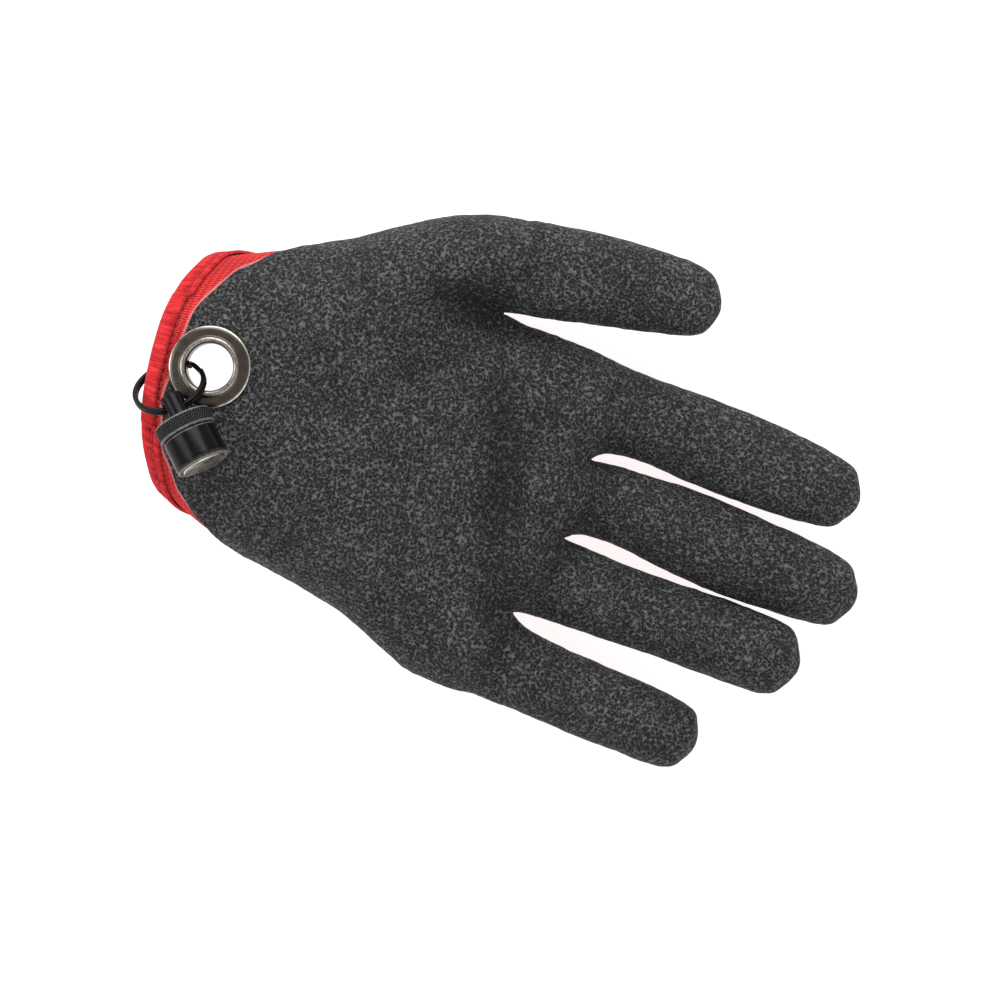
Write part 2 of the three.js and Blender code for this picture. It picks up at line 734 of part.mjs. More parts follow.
const ringLoops = [];
const RING_STEPS = 46;
for (let k = 0; k <= RING_STEPS; k++) {
  const turn = mix(RING_STOP, 720 - RING_STOP, k / RING_STEPS);
  const step = ease((turn - 360 + 12) / 24) - 0.5;
  const rows = [
    [-0.5, 0],
    [-0.3, 0.5],
    [0.3, 0.5],
    [0.5, 0],
    [0.3, -0.5],
    [-0.3, -0.5],
  ];
  ringLoops.push(
    rows.map(([r, h]) => ringPoint(turn + RING_CROSS, r * WIRE_WIDE, h * WIRE_HIGH + step * WIRE_PITCH)),
  );
}
const ring = sweep(ringLoops, false);

// Magnetic release: shank with a cross hole, knurled collar, cup and magnet
const RELEASE_RISE = 13; // degrees that the magnet end is raised
const HOLE_TO_END = 3.8;
const HOLE_TURN = 89; // where on the ring the shank hangs, in degrees
const SHANK = 7.1;
const COLLAR = 4.5;
const CUP = 9.1;
const releaseAxis = V(
  0.672 * Math.cos(rad(RELEASE_RISE)),
  -0.741 * Math.cos(rad(RELEASE_RISE)),
  Math.sin(rad(RELEASE_RISE)),
).normalize();
const crossHole = ringPoint(HOLE_TURN, -0.25, 0);
const stemBase = crossHole.clone().addScaledVector(releaseAxis, -HOLE_TO_END);
const sr = STEM_OD / 2;
const cr = COLLAR_OD / 2;
const stemTurned = revolve(
  [
    [0, 0],
    [sr - 0.7, 0],
    [sr, 0.7],
    [sr, SHANK],
    [cr - 0.6, SHANK],
    [cr, SHANK + 0.6],
    [cr, SHANK + COLLAR - 0.6],
    [cr - 0.6, SHANK + COLLAR],
    [0, SHANK + COLLAR],
  ],
  32,
  stemBase,
  releaseAxis,
  (r, k, i) => (r > cr - 0.1 && i % 2 ? r - 0.35 : r),
);
const holeCut = revolve([[0, -8], [1.85, -8], [1.85, 8], [0, 8]], 24, crossHole, ringE);
const stem = stemTurned.subtract(holeCut);
const cupBase = stemBase.clone().addScaledVector(releaseAxis, SHANK + COLLAR + GAP);
const ur = CUP_OD / 2;
const cup = revolve(
  [
    [0, 0],
    [ur - 0.5, 0],
    [ur, 0.5],
    [ur, CUP - 0.5],
    [ur - 0.4, CUP],
    [ur - 1.2, CUP],
    [ur - 1.2, CUP - 3],
    [0, CUP - 3],
  ],
  TURNED_SIDES,
  cupBase,
  releaseAxis,
);
const magnetBase = cupBase.clone().addScaledVector(releaseAxis, CUP - 3 + GAP);
const mr = ur - 1.2 - GAP;
const magnet = revolve([[0, 0], [mr, 0], [mr, 2.6], [mr - 0.3, 2.9], [0, 2.9]], 24, magnetBase, releaseAxis);

const looks = {
  knit: new THREE.MeshStandardMaterial({ color: 0xd93b40, roughness: 0.95, metalness: 0 }),
  rubber: new THREE.MeshStandardMaterial({ color: 0x2b2b2c, roughness: 0.7, metalness: 0 }),
  eyelet: new THREE.MeshStandardMaterial({ color: 0x5c544e, roughness: 0.35, metalness: 1 }),
  black: new THREE.MeshStandardMaterial({ color: 0x1b1b1c, roughness: 0.4, metalness: 0.8 }),
  magnet: new THREE.MeshStandardMaterial({ color: 0xb9b2a6, roughness: 0.3, metalness: 1 }),
};

const pieces = [
  ['knit_liner', liner, 'knit'],
  ...fingerKnits,
  ['latex_coating', coating, 'rubber'],
  ['cuff_hem', hem, 'knit'],
  ['grommet_eyelet', eyelet, 'eyelet'],
  ['grommet_washer', washer, 'eyelet'],
  ['split_ring', ring, 'black'],
  ['release_stem', stem, 'black'],
  ['release_cup', cup, 'black'],
  ['release_magnet', magnet, 'magnet'],
];

// The origin is under the middle of the whole glove, on the surface it lies on.
const box = new THREE.Box3();
const shapes = pieces.map(([name, solid, look]) => {
  const mesh = solid.getMesh();
  const geometry = new THREE.BufferGeometry();
  const xyz = new Float32Array(mesh.numVert * 3);
  for (let i = 0; i < mesh.numVert; i++) {
    for (let k = 0; k < 3; k++) xyz[3 * i + k] = mesh.vertProperties[mesh.numProp * i + k];
  }
  geometry.setAttribute('position', new THREE.BufferAttribute(xyz, 3));
  geometry.setIndex(new THREE.BufferAttribute(new Uint32Array(mesh.triVerts), 1));
  const merged = mergeVertices(geometry, 1e-5);
  merged.computeBoundingBox();
  box.union(merged.boundingBox);
  return [name, merged, look];
});
const middle = box.getCenter(V(0, 0, 0));
const group = new THREE.Group();
for (const [name, geometry, look] of shapes) {
  geometry.translate(-middle.x, -middle.y, 0);
  geometry.computeVertexNormals();
  const mesh = new THREE.Mesh(geometry, looks[look].clone());
  mesh.name = name;
  group.add(mesh);
}

export default group;
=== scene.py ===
import math
import bpy
import numpy as np
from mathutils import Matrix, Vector, noise


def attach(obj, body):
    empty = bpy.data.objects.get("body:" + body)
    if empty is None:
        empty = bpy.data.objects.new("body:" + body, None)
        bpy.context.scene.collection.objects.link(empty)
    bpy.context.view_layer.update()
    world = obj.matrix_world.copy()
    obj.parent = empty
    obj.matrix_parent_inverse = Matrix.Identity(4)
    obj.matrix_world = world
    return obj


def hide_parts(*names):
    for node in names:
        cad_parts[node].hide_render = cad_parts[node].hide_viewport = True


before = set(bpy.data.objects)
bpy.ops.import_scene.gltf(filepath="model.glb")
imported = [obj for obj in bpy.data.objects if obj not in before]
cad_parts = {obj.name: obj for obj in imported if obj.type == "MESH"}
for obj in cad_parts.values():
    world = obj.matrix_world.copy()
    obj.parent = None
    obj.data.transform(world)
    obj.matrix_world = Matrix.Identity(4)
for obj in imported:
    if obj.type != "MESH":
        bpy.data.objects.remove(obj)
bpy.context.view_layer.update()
norm = np.linalg.norm


def link(made):
    bpy.context.scene.collection.objects.link(made)


# Named sizes of the glove in millimetres, the same as in the source.
PALM = 100.0
WIDE = 100.0
DEPTH = 40.0
FINGER = 78.0
KNIT = 1.2
GAP = 0.3
COAT = 0.9
EYELET_OD = 22.1
EYELET_BORE = 12.6
RING_RADIUS = 9.5
RING_TILT = 52.0
WIRE_WIDE = 1.3
WIRE_HIGH = 0.8
WIRE_PITCH = 0.95
COLLAR_OD = 16.0
CUP_OD = 14.8
STEM_OD = 6.2
THICK_SHARE = 0.86
TUCK = 0.73
SKEW = 0.06
SEAT_SLOPE = 7.0
SEAT_HIGH = 0.955 * DEPTH
SEAT_FLAT = 11.2
SEAT_BLEND = 8.0
SIDE_POWER = 2.3
PALM_POWER = 2.6
FLOOR_SOFT = 0.7
# The source's hand frame has its origin at the grommet; the row's is under the middle.
SHIFT_X = 83.255
SHIFT_Y = -3.107
# Subdivisions of the cage, wales in each of its faces and millimetres in a course.
LEVELS = 4
WALES = 6
COURSE = 1.3

# Camera: straight above the palm, rolled as the photograph is. It stands over a
# point beside the grommet, and a lens shift brings the hand back into the frame.
CAM_HIGH = 1.5
CAM_ROLL = math.radians(16.0)
MM_PER_PIXEL = 0.27
SHIFT_RIGHT = 0.22
SHIFT_DOWN = 0.08
cam_data = bpy.data.cameras.new("camera")
cam_data.sensor_width = 36.0
cam_data.lens = 36.0 * CAM_HIGH / MM_PER_PIXEL
cam_data.clip_start = 0.05
cam_data.clip_end = 20.0
camera = bpy.data.objects.new("camera", cam_data)
image_right = Vector((math.cos(CAM_ROLL), math.sin(CAM_ROLL), 0.0))
image_up = Vector((-math.sin(CAM_ROLL), math.cos(CAM_ROLL), 0.0))
middle = Vector((0.00145, -0.0097, 0.018 + CAM_HIGH))
camera.location = middle + (image_up * SHIFT_DOWN - image_right * SHIFT_RIGHT) * MM_PER_PIXEL
camera.rotation_euler = (0.0, 0.0, CAM_ROLL)
cam_data.shift_x = SHIFT_RIGHT
cam_data.shift_y = -SHIFT_DOWN
link(camera)
bpy.context.scene.camera = camera

# Stations of the hand. Columns: at, lean, thumb, cleft, little, top, back, split.
body_rows = [
    (0.010, 0.96, 0.306, 0.195, -0.368, 0.900, 0.06, 0.0),
    (0.140, 0.45, 0.370, 0.235, -0.436, 0.975, 0.00, 0.0),
    (0.320, 0.12, 0.456, 0.285, -0.478, 1.000, -0.03, 0.2),
    (0.520, 0.00, 0.566, 0.330, -0.531, 0.940, -0.03, 0.6),
    (0.705, 0.00, 0.606, 0.356, -0.615, 0.830, -0.02, 1.0),
]
# The thumb's lobe at those stations. Columns: mid, half, web, under.
thumb_rows = [
    (0.45, 0.30, 0.90, 0.10),
    (0.47, 0.35, 0.95, 0.10),
    (0.54, 0.42, 0.90, 0.10),
    (0.59, 0.40, 0.80, 0.15),
    (0.60, 0.33, 0.64, 0.32),
]
# The palm up to the fingers. Columns: share, index, little, top, back.
palm_rows = [
    (0.34, 0.323, -0.630, 0.77, -0.01),
    (0.68, 0.318, -0.640, 0.77, 0.02),
    (1.00, 0.302, -0.635, 0.68, 0.08),
]
# Line of the finger roots. Columns: at, across.
root_rows = [
    (1.020, 0.000),
    (1.060, 0.146),
    (1.035, 0.280),
    (1.060, 0.397),
    (1.025, 0.513),
    (1.015, 0.628),
    (0.950, 0.754),
    (0.945, 0.884),
    (0.920, 1.000),
]
# Fingers. Columns: name, x0, y0, x1, y1, bow, widths at the stations, heights.
finger_rows = [
    ("index", 1.050, 0.196, 1.768, 0.129, 0.008, (0.262, 0.272, 0.229, 0.150), (0.37, 0.38, 0.48)),
    ("middle", 1.055, -0.046, 1.834, -0.125, 0.0, (0.232, 0.270, 0.231, 0.150), (0.37, 0.37, 0.46)),
    ("ring", 1.010, -0.292, 1.734, -0.340, 0.0, (0.250, 0.235, 0.236, 0.154), (0.37, 0.38, 0.49)),
    ("little", 0.940, -0.541, 1.523, -0.612, -0.008, (0.252, 0.232, 0.212, 0.142), (0.37, 0.40, 0.52)),
    ("thumb", 0.700, 0.487, 1.258, 0.531, 0.012, (0.302, 0.278, 0.222, 0.138), (0.60, 0.61, 0.68)),
]
finger_stations = (0.11, 0.48, 0.865, 0.965)
# Folds of the palm. Columns: x, y, long, wide, turn, lift.
fold_rows = [
    (0.40, 0.300, 0.22, 0.140, 25.0, 4.2),
    (0.40, -0.300, 0.26, 0.140, -8.0, 2.6),
    (0.66, -0.100, 0.20, 0.200, 0.0, -2.4),
    (0.50, 0.100, 0.26, 0.045, 38.0, -1.6),
    (0.66, 0.345, 0.16, 0.050, -6.0, -2.2),
    (0.86, -0.200, 0.40, 0.045, 104.0, -1.8),
    (0.95, 0.200, 0.08, 0.100, 90.0, 1.4),
    (0.97, -0.050, 0.08, 0.100, 90.0, 1.4),
    (0.94, -0.290, 0.08, 0.100, 90.0, 1.2),
    (0.88, -0.530, 0.08, 0.100, 90.0, 1.0),
]
# Fine creases of the rubber where the fingers and the palm bend, same columns.
crease_rows = [
    (0.930, 0.215, 0.11, 0.030, 80.0, -0.65),
    (0.865, -0.020, 0.17, 0.034, 74.0, -0.6),
    (0.853, -0.310, 0.16, 0.034, 102.0, -0.6),
    (0.655, 0.352, 0.05, 0.022, -4.0, -0.8),
    (0.90, -0.170, 0.34, 0.012, 104.0, -0.55),
    (0.80, -0.330, 0.16, 0.012, 128.0, -0.5),
    (0.56, 0.150, 0.16, 0.012, 42.0, -0.4),
    (0.62, 0.300, 0.10, 0.012, 10.0, -0.5),
    (1.06, 0.190, 0.10, 0.011, 84.0, -0.45),
    (1.07, -0.060, 0.09, 0.011, 92.0, -0.45),
    (1.04, -0.300, 0.09, 0.011, 96.0, -0.45),
    (0.97, -0.540, 0.09, 0.011, 100.0, -0.45),
    (1.30, 0.180, 0.10, 0.010, 86.0, -0.4),
    (1.33, -0.075, 0.10, 0.010, 88.0, -0.4),
    (1.28, -0.315, 0.10, 0.010, 90.0, -0.4),
    (1.16, -0.580, 0.10, 0.010, 92.0, -0.35),
    (1.54, 0.160, 0.09, 0.010, 86.0, -0.3),
    (1.60, -0.105, 0.09, 0.010, 88.0, -0.3),
    (1.51, -0.335, 0.09, 0.010, 90.0, -0.3),
    (1.36, -0.600, 0.09, 0.010, 92.0, -0.3),
    (0.80, 0.500, 0.11, 0.012, 78.0, -0.45),
    (1.02, 0.525, 0.11, 0.010, 84.0, -0.35),
]
# Dip line of the coating. Columns: at, high.
dip_rows = [
    (-0.600, 1.90),
    (-0.100, 0.93),
    (0.000, 0.80),
    (0.070, 0.73),
    (0.130, 0.645),
    (0.205, 0.53),
    (0.270, 0.46),
    (0.360, 0.38),
    (0.600, 0.28),
    (1.050, 0.28),
    (1.300, 0.30),
]
# Length of the rubber on each finger. Columns: name, from, to, wrap, high.
wrap_rows = [
    ("thumb", 0.37, 0.80, 1.10, 0.42),
    ("index", 0.035, 0.38, 1.60, 0.30),
    ("middle", -0.20, 0.045, 1.66, 0.30),
    ("ring", -0.448, -0.19, 1.56, 0.30),
    ("little", -0.90, -0.438, 1.38, 0.30),
]
# Hem by the signed angle round the cuff, from the palm side to the thumb's side: a
# roll over the palm with a step at each end, and a flat band round the rest.
# Columns: angle, roll, reach, outer, inner, nose.
hem_rows = [
    (-180.0, 0.0, 5.0, 0.80, 0.8, 0.8),
    (-95.0, 0.0, 5.0, 0.80, 0.8, 0.8),
    (-48.0, 0.0, 4.7, 0.85, 0.9, 0.9),
    (-46.0, 1.0, 3.1, 1.65, 1.2, 1.1),
    (-20.0, 1.0, 2.9, 1.80, 1.2, 1.1),
    (0.0, 1.0, 2.9, 1.85, 1.2, 1.1),
    (30.0, 1.0, 3.0, 1.85, 1.2, 1.1),
    (51.5, 1.0, 3.2, 1.75, 1.2, 1.1),
    (53.0, 0.0, 4.3, 0.90, 0.9, 0.9),
    (95.0, 0.0, 5.0, 0.80, 0.8, 0.8),
    (180.0, 0.0, 5.0, 0.80, 0.8, 0.8),
]
# Outline of the hem's outer side, as shares of its reach and thickness. Columns:
# place and height on the roll, place and height on the flat band with its groove.
hem_profile = [
    (1.00, 0.02, 1.00, 0.02),
    (1.02, 0.25, 1.00, 0.65),
    (0.97, 0.60, 0.95, 1.00),
    (0.88, 0.84, 0.72, 1.02),
    (0.74, 0.96, 0.62, 0.86),
    (0.58, 1.00, 0.55, 0.42),
    (0.42, 1.00, 0.47, 0.42),
    (0.28, 0.98, 0.40, 0.86),
    (0.14, 0.94, 0.30, 1.02),
    (0.00, 0.88, 0.05, 1.00),
]


def mix(a, b, t):
    return a + (b - a) * t


def ease(t):
    u = np.clip(t, 0.0, 1.0)
    return u * u * (3.0 - 2.0 * u)


def unit(v):
    return v / norm(v)


def oval(s, power):
    u = min(1.0, abs(s))
    return (1.0 - u ** power) ** (1.0 / power)


# Cage of the liner's outer surface: target points and four-sided faces with their
# place in the knit, counted in wales round the tube and courses along it.
points = []
quads = []
stitches = []


def put(x, y, z):
    points.append((x, y, z))
    return len(points) - 1


def tube(a, b):
    span = np.mean([norm(np.subtract(points[i], points[j])) for i, j in zip(a, b)])
    rows = max(1, round(span / COURSE))
    n = len(a)
    for j in range(n):
        k = (j + 1) % n
        u = j * WALES
        quads.append((a[j], a[k], b[k], b[j]))
        stitches.append(((u, 0), (u + WALES, 0), (u + WALES, rows), (u, rows)))


def cap(loop, centre):
    for a, b, c in ((0, 1, 2), (2, 3, 4), (4, 5, 0)):
        quads.append((loop[a], loop[b], loop[c], centre))
        stitches.append(((0, 0), (WALES, 0), (WALES, WALES), (0, WALES)))


across = [row[1] for row in root_rows]


def body_loop(row, lobe):
    at, lean, thumb, cleft, little, top, back, split = row
    y_t, y_c, y_l = thumb * WIDE, cleft * WIDE, little * WIDE
    mid = (top + back) / 2 * DEPTH
    half = (top - back) / 2 * DEPTH
    centre, reach = (y_t + y_l) / 2, (y_t - y_l) / 2
    lobe_mid, lobe_reach = (y_t + y_c) / 2, (y_t - y_c) / 2
    palm = []
    under = []
    for i in range(11):
        if i == 0:
            y = mix(centre + reach * 0.965, lobe_mid + lobe_reach * 0.866, split)
        elif i == 1:
            y = lobe_mid
        elif i < 10:
            y = mix(y_c, y_l, across[i - 2])
        else:
            y = mix(centre - reach * 0.965, y_l + (y_c - y_l) * 0.015, split)
        whole = oval((y - centre) / reach, SIDE_POWER) * half
        high, low = mid + whole, mid - whole
        if i < 3:
            tz, th = lobe[0] * DEPTH, lobe[1] * DEPTH
            share = 1.0 if i == 1 else 0.5
            lobe_high = lobe[2] * DEPTH if i == 2 else tz + th * share
            lobe_low = lobe[3] * DEPTH if i == 2 else tz - th * share
            high, low = mix(high, lobe_high, split), mix(low, lobe_low, split)
        else:
            own = oval((y - (y_c + y_l) / 2) / ((y_c - y_l) / 2), SIDE_POWER) * half
            high, low = mix(high, mid + own, split), mix(low, mid - own, split)
        x = at * PALM - (split * split * 0.018 * PALM if i == 2 else 0.0)
        palm.append(put(x - lean * (high - mid + SKEW * y), y, high))
        under.append(put(x - lean * (TUCK * (low - mid) + SKEW * y), y, low))
    return palm + under[::-1]


def palm_loop(row, x0):
    share, index, little, top, back = row
    y_i, y_l = index * WIDE, little * WIDE
    mid = (top + back) / 2 * DEPTH
    half = (top - back) / 2 * DEPTH
    palm = []
    under = []
    for i in range(9):
        s = mix(0.975, -0.975, across[i])
        y = (y_i + y_l) / 2 + s * (y_i - y_l) / 2
        h = oval(s, PALM_POWER) * half
        x = mix(x0, root_rows[i][0] * PALM, share)
        dip = share * share * 0.07 * DEPTH if i in (2, 4, 6) else 0.0
        palm.append(put(x, y, mid + h - dip))
        under.append(put(x, y, mid - h + dip * 0.5))
    return palm + under[::-1]


def finger(row, loop):
    name, x0, y0, x1, y1, bow, widths, heights = row
    start = np.array((x0 * PALM, y0 * WIDE, 0.0))
    end = np.array((x1 * PALM, y1 * WIDE, 0.0))
    length = norm(end - start)
    along = (end - start) / length
    side = np.array((-along[1], along[0], 0.0))
    a, b, c = heights

    def middle(t):
        p = start + along * length * t + side * bow * FINGER * 4 * t * (1 - t)
        p[2] = DEPTH * (a * (1 - t) * (1 - 2 * t) + 4 * b * t * (1 - t) + c * t * (2 * t - 1))
        return p

    last = loop
    for t, wide in zip(finger_stations, widths):
        w = wide * FINGER / 2
        ring = []
        for angle in (30, 90, 150, 210, 270, 330):
            p = middle(t) + side * w * math.cos(math.radians(angle))
            p[2] += w * THICK_SHARE * math.sin(math.radians(angle))
            ring.append(put(*p))
        tube(last, ring)
        last = ring
    cap(last, put(*middle(1.0)))


body_loops = [body_loop(row, lobe) for row, lobe in zip(body_rows, thumb_rows)]
for near, far in zip(body_loops, body_loops[1:]):
    tube(near, far)
split_loop = body_loops[-1]
edge_loop = split_loop[2:20]
for row in palm_rows:
    following = palm_loop(row, body_rows[-1][0] * PALM)
    tube(edge_loop, following)
    edge_loop = following
for k in range(4):
    near, far = 2 * k, 17 - 2 * k
    root = edge_loop[near:near + 3] + edge_loop[far - 2:far + 1]
    finger(finger_rows[k], root)
finger(finger_rows[4], split_loop[:3] + split_loop[19:])


def edges_of(faces):
    nxt = np.roll(faces, -1, axis=1)
    low = np.minimum(faces, nxt).ravel().astype(np.int64)
    high = np.maximum(faces, nxt).ravel().astype(np.int64)
    big = int(faces.max()) + 1
    key, which, count = np.unique(low * big + high, return_inverse=True, return_counts=True)
    return np.stack([key // big, key % big], 1), which.reshape(faces.shape), count


def scatter(size, index, values):
    out = np.zeros((size, values.shape[1]))
    for k in range(values.shape[1]):
        out[:, k] = np.bincount(index, weights=values[:, k], minlength=size)
    return out


def rim_sums(p, edges, count):
    rim = edges[count == 1]
    both = np.concatenate([rim[:, 0], rim[:, 1]])
    other = np.concatenate([rim[:, 1], rim[:, 0]])
    return np.unique(both), scatter(len(p), both, p[other])


def limit_points(p, faces):
    edges, which, count = edges_of(faces)
    both = np.concatenate([edges[:, 0], edges[:, 1]])
    other = np.concatenate([edges[:, 1], edges[:, 0]])
    n = np.bincount(both, minlength=len(p)).astype(float)[:, None]
    around = scatter(len(p), both, p[other])
    corner = faces.ravel()
    opposite = np.roll(faces, -2, axis=1).ravel()
    across_sum = scatter(len(p), corner, p[opposite])
    out = (n * n * p + 4 * around + across_sum) / (n * (n + 5))
    rim, sums = rim_sums(p, edges, count)
    out[rim] = (4 * p[rim] + sums[rim]) / 6
    return out


def subdivide(p, faces, uv):
    edges, which, count = edges_of(faces)
    centre = p[faces].mean(1)
    mids = (p[edges[:, 0]] + p[edges[:, 1]]) / 2
    face_sum = scatter(len(edges), which.ravel(), np.repeat(centre, 4, axis=0))
    inner = (count == 2)[:, None]
    edge_point = np.where(inner, (mids * 2 + face_sum) / 4, mids)
    both = np.concatenate([edges[:, 0], edges[:, 1]])
    n = np.bincount(both, minlength=len(p)).astype(float)[:, None]
    face_mean = scatter(len(p), faces.ravel(), np.repeat(centre, 4, axis=0))
    face_mean /= np.bincount(faces.ravel(), minlength=len(p))[:, None]
    mid_mean = scatter(len(p), both, np.concatenate([mids, mids])) / n
    moved = (face_mean + 2 * mid_mean + (n - 3) * p) / n
    rim, sums = rim_sums(p, edges, count)
    moved[rim] = (6 * p[rim] + sums[rim]) / 8
    out = np.concatenate([moved, edge_point, centre])
    first_edge = len(p)
    first_face = len(p) + len(edges)
    fi = first_face + np.arange(len(faces))
    new_faces = []
    new_uv = []
    uv_mid = (uv + np.roll(uv, -1, axis=1)) / 2
    uv_centre = uv.mean(1)
    for j in range(4):
        k = (j + 3) % 4
        corners = [faces[:, j], first_edge + which[:, j], fi, first_edge + which[:, k]]
        new_faces.append(np.stack(corners, 1))
        new_uv.append(np.stack([uv[:, j], uv_mid[:, j], uv_centre, uv_mid[:, k]], 1))
    return out, np.concatenate(new_faces), np.concatenate(new_uv)


def normals_of(p, faces):
    n = np.cross(p[faces[:, 2]] - p[faces[:, 0]], p[faces[:, 3]] - p[faces[:, 1]])
    out = np.zeros_like(p)
    for k in range(4):
        out += scatter(len(p), faces[:, k], n)
    return out / np.maximum(norm(out, axis=1, keepdims=True), 1e-12)


seat_normal = np.array((-math.sin(math.radians(SEAT_SLOPE)), 0.0, math.cos(math.radians(SEAT_SLOPE))))
seat = np.array((0.0, 0.0, SEAT_HIGH))
# The cleft beside the thumb: a narrow V that opens from its tip, and behind the tip
# the two coats touch. Millimetres, and slopes of its two walls.
CLEFT_X = 70.0
CLEFT_TIP = 73.0
CLEFT_END = 98.0
CLEFT_Y = 35.5
CLEFT_HALF = 0.95
CLEFT_STEEP = 0.20
CLEFT_TURN = 6.5
CLEFT_FLAT = 0.07
CLEFT_ABOVE = 0.15


def folds(p, rows):
    lift = np.zeros(len(p))
    for x, y, long_, wide, turn, high in rows:
        dx = p[:, 0] / PALM - x
        dy = p[:, 1] / PALM - y
        c, s = math.cos(math.radians(turn)), math.sin(math.radians(turn))
        u = (dx * c + dy * s) / long_
        v = (dy * c - dx * s) / wide
        lift += high * np.exp(-u ** 4 - v ** 2)
    return lift


def seat_share(p):
    r = np.hypot(p[:, 0], p[:, 1])
    return np.where(p[:, 2] < DEPTH / 2, 0.0, 1 - ease((r - SEAT_FLAT) / SEAT_BLEND))


def shaped(cage, faces):
    """Limit surface of the cage with its cleft, folds and flat seat, and normals."""
    skin = limit_points(cage, faces)
    along = skin[:, 0] - CLEFT_TIP
    dy = skin[:, 1] - CLEFT_Y
    starts = ease((skin[:, 0] - CLEFT_X) / 1.5)
    below = CLEFT_HALF + CLEFT_STEEP * np.clip(along, 0.0, CLEFT_TURN)
    below = (below + CLEFT_FLAT * np.clip(along - CLEFT_TURN, 0.0, None)) * starts
    above = (CLEFT_HALF + CLEFT_ABOVE * np.clip(along, 0.0, None)) * starts
    near = (skin[:, 0] > CLEFT_X) & (skin[:, 0] < CLEFT_END)
    lower = near & (dy <= 0.0) & (-dy < below)
    upper = near & (dy > 0.0) & (dy < above)
    skin[lower, 1] = CLEFT_Y - below[lower]
    skin[upper, 1] = CLEFT_Y + above[upper]
    normals = normals_of(skin, faces)
    bend = ease((normals[:, 2] - 0.1) / 0.7) * (skin[:, 0] < 1.2 * PALM)
    skin[:, 2] += folds(skin, fold_rows) * bend
    flat = SEAT_HIGH + skin[:, 0] * math.tan(math.radians(SEAT_SLOPE))
    skin[:, 2] = mix(skin[:, 2], flat, seat_share(skin))
    low = skin[:, 2] < FLOOR_SOFT
    skin[low, 2] = FLOOR_SOFT * ease(np.clip(skin[low, 2], 0, FLOOR_SOFT) / FLOOR_SOFT) ** 1.5
    share = seat_share(skin)[:, None]
    normals = mix(normals_of(skin, faces), seat_normal[None, :], share)
    return skin, normals / norm(normals, axis=1, keepdims=True)


targets = np.array(points)
faces = np.array(quads)
uv = np.array(stitches, float)
cage = targets.copy()
for _ in range(30):
    cage += targets - limit_points(cage, faces)
for _ in range(LEVELS - 1):
    cage, faces, uv = subdivide(cage, faces, uv)
lining_skin, lining_normals = shaped(cage, faces)
lining_faces, lining_uv = faces, uv
cage, faces, uv = subdivide(cage, faces, uv)
skin, normals = shaped(cage, faces)
calm = 1 - seat_share(skin)


def wave(p, size, seed, octaves=1):
    out = np.zeros(len(p))
    gain = 1.0
    for k in range(octaves):
        q = p / size + seed * 17.3 + k * 5.1
        out += gain * np.array([noise.noise(Vector(r)) for r in q])
        size = size / 2
        gain *= 0.5
    return out


def readings(rows, at, column):
    xs = [row[0] for row in rows]
    return np.interp(at, xs, [row[column] for row in rows])


def dip_field(p):
    wobble = 0.35 * np.sin(p[:, 0] * 0.31 + p[:, 1] * 0.11) + 0.2 * np.sin(p[:, 0] * 0.83 + 1.3)
    wobble += 0.15 * np.sin(p[:, 1] * 0.47 + 0.6)
    best = np.full(len(p), -1e9)
    for name, low_y, high_y, wrap, high in wrap_rows:
        xs = []
        zs = []
        for at, line in dip_rows:
            if at > wrap - 0.06:
                break
            grown = float(ease((at - 0.45) / 0.4)) if at > 0.5 else 0.0
            level = mix(line, high, grown if name == "thumb" else grown * 0.5)
            xs.append(at * PALM)
            zs.append(level * DEPTH)
        xs += [(wrap - 0.05) * PALM, wrap * PALM, (wrap + 0.03) * PALM]
        zs += [high * DEPTH, 0.1 * DEPTH, -DEPTH]
        line_z = np.interp(p[:, 0] + wobble, xs, zs)
        f = p[:, 2] - line_z + wobble * 0.5
        mine = (p[:, 1] >= low_y * WIDE) & (p[:, 1] <= high_y * WIDE)
        best = np.where(mine, np.maximum(best, f), best)
    return best


def bore_field(p, radius):
    d = p - seat
    h = d @ seat_normal
    r = norm(d - h[:, None] * seat_normal[None, :], axis=1)
    return np.where(np.abs(h) < 14, r - radius, 50.0)


def trim(faces, field):
    """Faces that the field keeps, and for each point outside it the pull that
    brings it to the field's edge: partner point and share of the way."""
    kept = (field[faces] > 0).any(1)
    used = faces[kept]
    partner = np.arange(len(field))
    share = np.zeros(len(field))
    best = np.full(len(field), 2.0)
    for i in range(4):
        for j in range(4):
            if i == j:
                continue
            a, b = used[:, i], used[:, j]
            ok = (field[a] <= 0) & (field[b] > 0)
            a, b = a[ok], b[ok]
            t = field[a] / (field[a] - field[b])
            order = np.argsort(-t)
            a, b, t = a[order], b[order], t[order]
            better = t < best[a]
            best[a[better]] = t[better]
            partner[a[better]] = b[better]
            share[a[better]] = t[better]
    return kept, partner, share


def pulled(values, partner, share):
    s = share if values.ndim == 1 else share[:, None]
    return values + (values[partner] - values) * s


